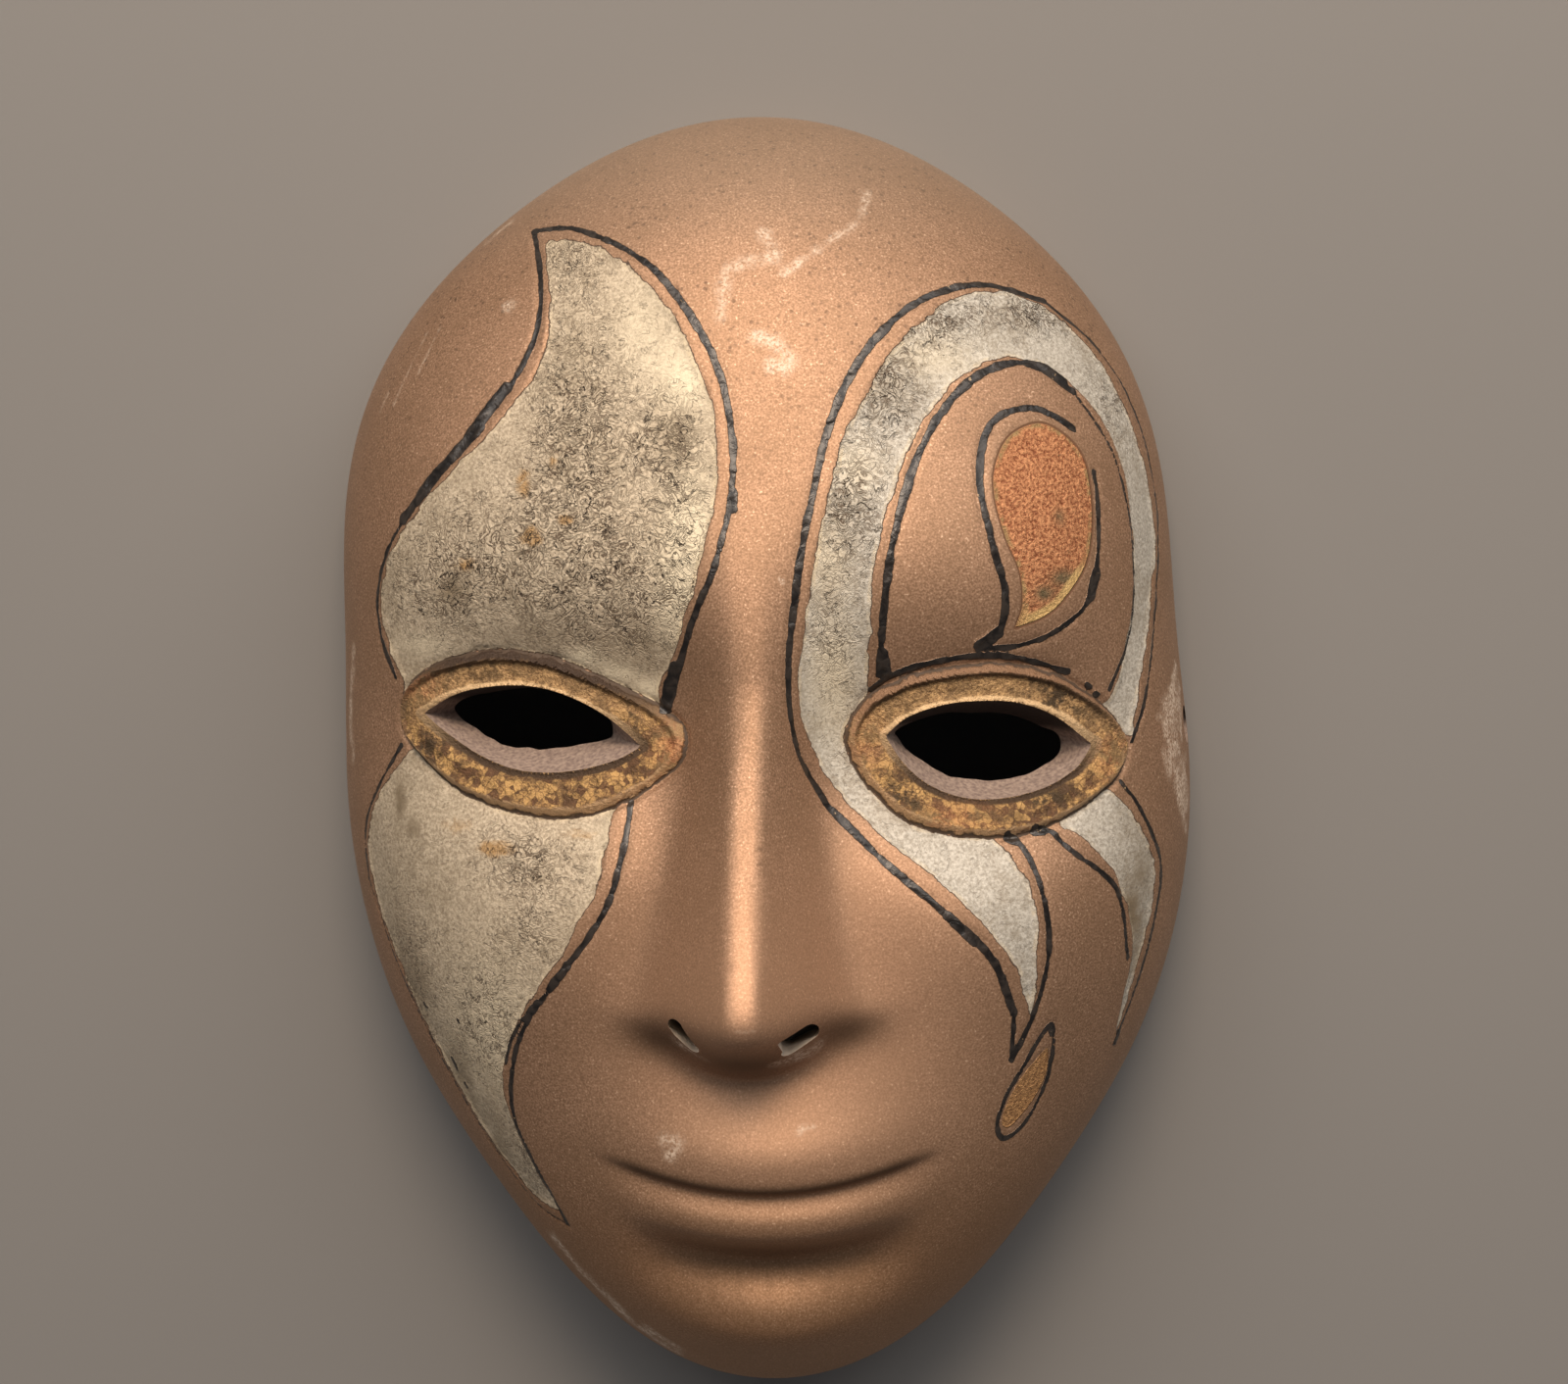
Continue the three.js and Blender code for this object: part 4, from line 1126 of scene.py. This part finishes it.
for share, paint in ((tarnish, green_brown), (mark["soot"], green_brown), (rust_rim, rim_paint)):
    rust_paint = add(m, "Mix", {0: share, 6: rust_paint, 7: paint}, 2, **COLOUR)
rust_height = add(m, "MapRange", {"Value": grit, "To Max": 0.45})
amber_paint = add(m, "Mix", {0: grain, 6: rgb("#8a633f"), 7: rgb("#cfa06c")}, 2, **COLOUR)
print("nodes with the copper:", len(m.node_tree.nodes))

# %% Gilded bands
ochre_paint = add(m, "Mix", {0: grain, 6: rgb("#876845"), 7: rgb("#cfa875")}, 2, **COLOUR)
lit_plate = add(m, "Math", {0: plate, 1: 0.55, 2: flaky}, operation="MULTIPLY_ADD")
lit_plate = add(m, "Math", {0: grain, 1: 0.2, 2: lit_plate}, operation="MULTIPLY_ADD")
lit_plate = add(m, "MapRange", {"Value": lit_plate, "From Min": 0.66, "From Max": 1.12}, **SOFT)
gold_leaf = add(m, "Mix", {0: lit_plate, 6: rgb("#6a4b33"), 7: rgb("#cda469")}, 2, **COLOUR)
seam = add(m, "MapRange", {"Value": seams, "From Min": 0.09, "From Max": 0.02, "To Max": 0.6}, **SOFT)
gold_leaf = add(m, "Mix", {0: seam, 6: gold_leaf, 7: rgb("#5c4228")}, 2, **COLOUR)
band_paint = add(m, "Mix", {0: mark["gilt"], 6: ochre_paint, 7: gold_leaf}, 2, **COLOUR)
dark_band = add(m, "Math", {0: mark["soot"], 1: 0.4}, operation="ADD")
dark_band = add(m, "Math", {0: dark_band, 1: grimy}, operation="MULTIPLY")
ragged = add(m, "Math", {0: flaky, 1: 0.3, 2: mark["band"]}, operation="MULTIPLY_ADD")
above_eye = add(m, "Math", {0: 0.85, 1: mark["gilt"]}, operation="SUBTRACT")
# painted shadow: over the eye, the band just inside its outer ridge is painted dark
ridge_shadow = add(m, "MapRange", {"Value": ragged, "From Min": 0.46, "From Max": 0.36}, **SOFT)
ridge_shadow = add(m, "Math", {0: ridge_shadow, 1: above_eye}, operation="MULTIPLY", use_clamp=True)
# over the eye the outer ridge is painted dark on the left, as painted shade, and light brown on the right
upper_ridge = add(m, "Mix", {0: cool, 6: rgb("#46362a"), 7: rgb("#937257")}, 2, **COLOUR)
outer_paint = add(m, "Mix", {0: mark["gilt"], 6: upper_ridge, 7: rgb("#c2a079")}, 2, **COLOUR)
inner_paint = add(m, "Mix", {0: mark["gilt"], 6: rgb("#e6c394"), 7: rgb("#4a3827")}, 2, **COLOUR)
outer_ridge = add(m, "MapRange", {"Value": ragged, "From Min": 0.3, "From Max": 0.22}, **SOFT)
inner_ridge = add(m, "MapRange", {"Value": ragged, "From Min": 0.93, "From Max": 1.0}, **SOFT)
reddish = add(m, "Math", {0: mark["ochre"], 1: 0.8}, operation="MULTIPLY")
for share, paint in (
    (dark_band, rgb("#4a3a26")), (ridge_shadow, rgb("#493727")), (outer_ridge, outer_paint),
    (inner_ridge, inner_paint), (reddish, rust_paint),
):
    band_paint = add(m, "Mix", {0: share, 6: band_paint, 7: paint}, 2, **COLOUR)
band_height = add(m, "Math", {0: plate, 1: 0.1, 2: rust_height}, operation="MULTIPLY_ADD")
print("nodes with the gilding:", len(m.node_tree.nodes))

# %% Black enamel
lumps = add(m, "MapRange", {"Value": crumbs, "From Min": 0.4, "From Max": 0.62}, **SOFT)
black = add(m, "Mix", {0: lumps, 6: rgb("#171310"), 7: rgb("#312b26")}, 2, **COLOUR)
chip = add(m, "MapRange", {"Value": flaky, "From Min": 0.66, "From Max": 0.7, "To Max": 0.8}, **SOFT)
black = add(m, "Mix", {0: chip, 6: black, 7: rgb("#bfa27c")}, 2, **COLOUR)
black_height = add(m, "MapRange", {"Value": crumbs, "To Max": 0.3})
print("nodes with the black:", len(m.node_tree.nodes))

# %% Layers over each other
EDGE_RANGE = {"From Min": 0.3, "From Max": 0.7, "To Min": -0.25, "To Max": 0.25}
jagged = add(m, "MapRange", {"Value": crumbs, **EDGE_RANGE})
edges = {name: add(m, "Math", {0: mark[name], 1: jagged}, operation="ADD")
         for name in ("silver", "gap", "wear")}
line_edge = add(m, "Math", {0: jagged, 1: 0.5, 2: mark["line"]}, operation="MULTIPLY_ADD")
# the first dark layer of the silver lies on the sunken edge round each field, and the first of the band in
# the groove round it: both are painted shade
# distance in millimetres, where the layer starts and is whole, colour, roughness, metallic and height
LAYERS = (
    (edges["silver"], -0.22, -0.1, rgb("#4d3d30"), 0.7, 0.1, silver_height),
    (edges["silver"], -0.06, 0.06, silver_paint, 0.6, 0.2, silver_height),
    (mark["rust"], -0.42, -0.3, rgb("#6b4b33"), 0.7, 0.1, bronze_height),
    (mark["rust"], -0.1, 0.1, rust_paint, 0.5, 0.45, rust_height),
    (mark["amber"], -0.1, 0.1, amber_paint, 0.45, 0.4, rust_height),
    (edges["gap"], -0.62, -0.46, rgb("#4f3f31"), 0.7, 0.1, bronze_height),
    (edges["gap"], -0.2, 0.05, band_paint, 0.5, 0.35, band_height),
    (line_edge, -0.06, 0.06, black, 0.36, 0.0, black_height),
)
colour, roughness, metallic, height = bronze, 0.57, 0.6, bronze_height
for value, low, high, paint, rough, metal, lump in LAYERS:
    over = add(m, "MapRange", {"Value": value, "From Min": low, "From Max": high}, **SOFT)
    colour = add(m, "Mix", {0: over, 6: colour, 7: paint}, 2, **COLOUR)
    roughness = add(m, "Mix", {0: over, 2: roughness, 3: rough})
    metallic = add(m, "Mix", {0: over, 2: metallic, 3: metal})
    height = add(m, "Mix", {0: over, 2: height, 3: lump})
bump = add(m, "Bump", {"Height": height, "Distance": MM, "Strength": 1.0})
print("layers over the bronze:", len(LAYERS))

# %% Worn places
# where the paint is rubbed off, the powdery ceramic shows: pale, matt and broken up by the grit
worn = add(m, "MapRange", {"Value": edges["wear"], "From Min": -0.5, "From Max": 2.3, "To Max": 0.9}, **SOFT)
rubbed = add(m, "MapRange", {"Value": grit, "From Min": 0.35, "From Max": 0.6}, **SOFT)
faded = add(m, "MapRange", {"Value": flaky, "From Min": 0.38, "From Max": 0.58, "To Min": 0.3}, **SOFT)
for share in (rubbed, faded):
    worn = add(m, "Math", {0: worn, 1: share}, operation="MULTIPLY")
colour = add(m, "Mix", {0: worn, 6: colour, 7: rgb("#e0cdb8")}, 2, **COLOUR)
metallic = add(m, "Mix", {0: worn, 2: metallic, 3: 0.0})
SHADER = "Principled BSDF"
sockets = {"Base Color": colour, "Roughness": roughness, "Metallic": metallic, "Normal": bump}
fill(m, m.node_tree.nodes[SHADER], sockets)
print("nodes of the painted outside:", len(m.node_tree.nodes))

# %% [markdown]
# The bare ceramic. Unglazed earthenware is chalky: rough, with no highlight, and a little sandy where
# the knife has dragged grains out of it. The ledges of the eyes are trimmed like that. The inside is
# as it came from the mould, smoother and paler, with some bronze overspray near the rim.

# %% Bare ceramic
m = trimmed
place_on_mask = add(m, "TexCoord", output="Object")
grit = add(m, "TexNoise", {"Vector": place_on_mask, "Scale": 1500, "Detail": 4})
sandy = add(m, "MapRange", {"Value": grit, "From Min": 0.3, "From Max": 0.7})
body = add(m, "Mix", {0: sandy, 6: rgb("#74625a"), 7: rgb("#a38f80")}, 2, **COLOUR)
# painted shade: the wall over each eye, which faces the chin, is painted near black
across = add(m, "SeparateXYZ", {"Vector": place_on_mask}, "X")
along = add(m, "SeparateXYZ", {"Vector": place_on_mask}, "Y")
wall_shade_over_eye = add(m, "Math", {0: across, 1: 0.0685, 2: along}, operation="MULTIPLY_ADD")
wall_shade_over_eye = add(m, "MapRange", {"Value": wall_shade_over_eye, "From Min": 0.0075, "From Max": 0.0095}, **SOFT)
body = add(m, "Mix", {0: wall_shade_over_eye, 6: body, 7: rgb("#2e221b")}, 2, **COLOUR)
bump = add(m, "Bump", {"Height": grit, "Distance": 0.15 * MM, "Strength": 1.0})
fill(m, m.node_tree.nodes[SHADER], {"Base Color": body, "Roughness": 0.9, "Normal": bump})
print("nodes of the trimmed ceramic:", len(m.node_tree.nodes))

# %% Unpainted inside
m = bare
place_on_mask = add(m, "TexCoord", output="Object")
grit = add(m, "TexNoise", {"Vector": place_on_mask, "Scale": 700, "Detail": 5})
body = add(m, "Mix", {0: grit, 6: rgb("#bfae9b"), 7: rgb("#ddd0bf")}, 2, **COLOUR)
height = add(m, "SeparateXYZ", {"Vector": place_on_mask}, "Z")
spray = add(m, "MapRange", {"Value": height, "From Min": 0.012, "From Max": 0.0, "To Max": 0.8}, **SOFT)
body = add(m, "Mix", {0: spray, 6: body, 7: rgb("#8f6848")}, 2, **COLOUR)
bump = add(m, "Bump", {"Height": grit, "Distance": 0.2 * MM, "Strength": 1.0})
fill(m, m.node_tree.nodes[SHADER], {"Base Color": body, "Roughness": 0.85, "Normal": bump})
print("nodes of the unpainted inside:", len(m.node_tree.nodes))

# %% The mask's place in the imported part
# the painted mask takes the place of the plain solid, and moves with the only body
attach(mask, "root")
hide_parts("mask_shell")
corners = read(whole.vertices, "co", 3)
print("mask size, mm:", np.round(np.ptp(corners, axis=0) / MM, 2))

# %% [markdown]
# The stage. A mask with nothing to stand on lies on its rim, so the camera looks down on it, a little
# from the side and a little turned. A real camera is described by how many image pixels its focal
# length is, and that gives the lens. A small warm lamp beyond the crown draws the highlight down the
# nose, a wide one fills the shade, and a weak one beyond the chin keeps the folds from going black.

# %% Floor
FLOOR_SIZE = 4.0
floor_points = np.array([[-1, -1, 0], [1, -1, 0], [1, 1, 0], [-1, 1, 0]]) * FLOOR_SIZE / 2 / MM
pale = bpy.data.materials.new("pale_matt_board")
pale.use_nodes = True
fill(pale, pale.node_tree.nodes[SHADER], {"Base Color": rgb("#7e7c79"), "Roughness": 0.9})
floor = make_object("floor", floor_points, np.array([[0, 1, 2, 3]]), 0, [pale])
print("floor, metres across:", FLOOR_SIZE)

# %% Camera
IMAGE_WIDTH = 1600
FOCAL_PIXELS = 2750
SENSOR = 36.0
AIM = np.array([3.0, 9.2, 0.0])
CAMERA_HEIGHT = 480.0
PITCH, YAW, ROLL = np.radians([4.0, 2.0, -1.2])
forward = np.array([-np.sin(YAW) * np.cos(PITCH), -np.sin(PITCH), -np.cos(YAW) * np.cos(PITCH)])
level = np.cross(forward, [0, 1, 0])
level /= np.linalg.norm(level)
upright = np.cross(level, forward)
right = level * np.cos(ROLL) + upright * np.sin(ROLL)
up = upright * np.cos(ROLL) - level * np.sin(ROLL)
eye_point = (AIM - forward * CAMERA_HEIGHT / -forward[2]) * MM
camera_data = bpy.data.cameras.new("camera")
camera_data.sensor_width = SENSOR
camera_data.lens = SENSOR * FOCAL_PIXELS / IMAGE_WIDTH
camera = bpy.data.objects.new("camera", camera_data)
turned = np.column_stack([right, up, -forward, eye_point])
camera.matrix_world = Matrix([*turned.tolist(), [0, 0, 0, 1]])
bpy.context.scene.collection.objects.link(camera)
bpy.context.scene.camera = camera
print("lens, mm:", round(camera_data.lens, 1), "at, metres:", np.round(eye_point, 3))


# %% Light
def area_light(name, at, aim, width, height, watts, hex_colour):
    """A soft light, a rectangle that looks at a point."""
    data = bpy.data.lights.new(name, "AREA")
    data.shape, data.size, data.size_y = "RECTANGLE", width, height
    data.energy, data.color = watts, rgb(hex_colour)[:3]
    light = bpy.data.objects.new(name, data)
    back = np.array(at, float) - np.array(aim, float)
    back /= np.linalg.norm(back)
    side = np.cross([0, 1, 0.01], back)
    side /= np.linalg.norm(side)
    top = np.cross(back, side)
    turned = np.column_stack([side, top, back, at])
    light.matrix_world = Matrix([*turned.tolist(), [0, 0, 0, 1]])
    bpy.context.scene.collection.objects.link(light)
    return light


area_light("key_from_the_crown", (0.03, 0.62, 0.76), (0, 0, 0.03), 0.4, 0.25, 6.0, "#ffe4c8")
area_light("wide_fill_from_the_crown", (0.1, 0.82, 0.84), (0, 0, 0.03), 2.4, 0.8, 19.5, "#fdf6f0")
area_light("low_bounce_from_the_chin", (0, -0.7, 0.22), (0, -0.08, 0.02), 1.2, 0.3, 0.35, "#ffe2c8")
world = bpy.data.worlds.new("studio")
bpy.context.scene.world = world
world.use_nodes = True
fill(world, world.node_tree.nodes["Background"], {"Color": rgb("#b4b8c0"), "Strength": 0.25})
bpy.context.scene.view_settings.view_transform = "Standard"
print("lamps:", len(bpy.data.lights))
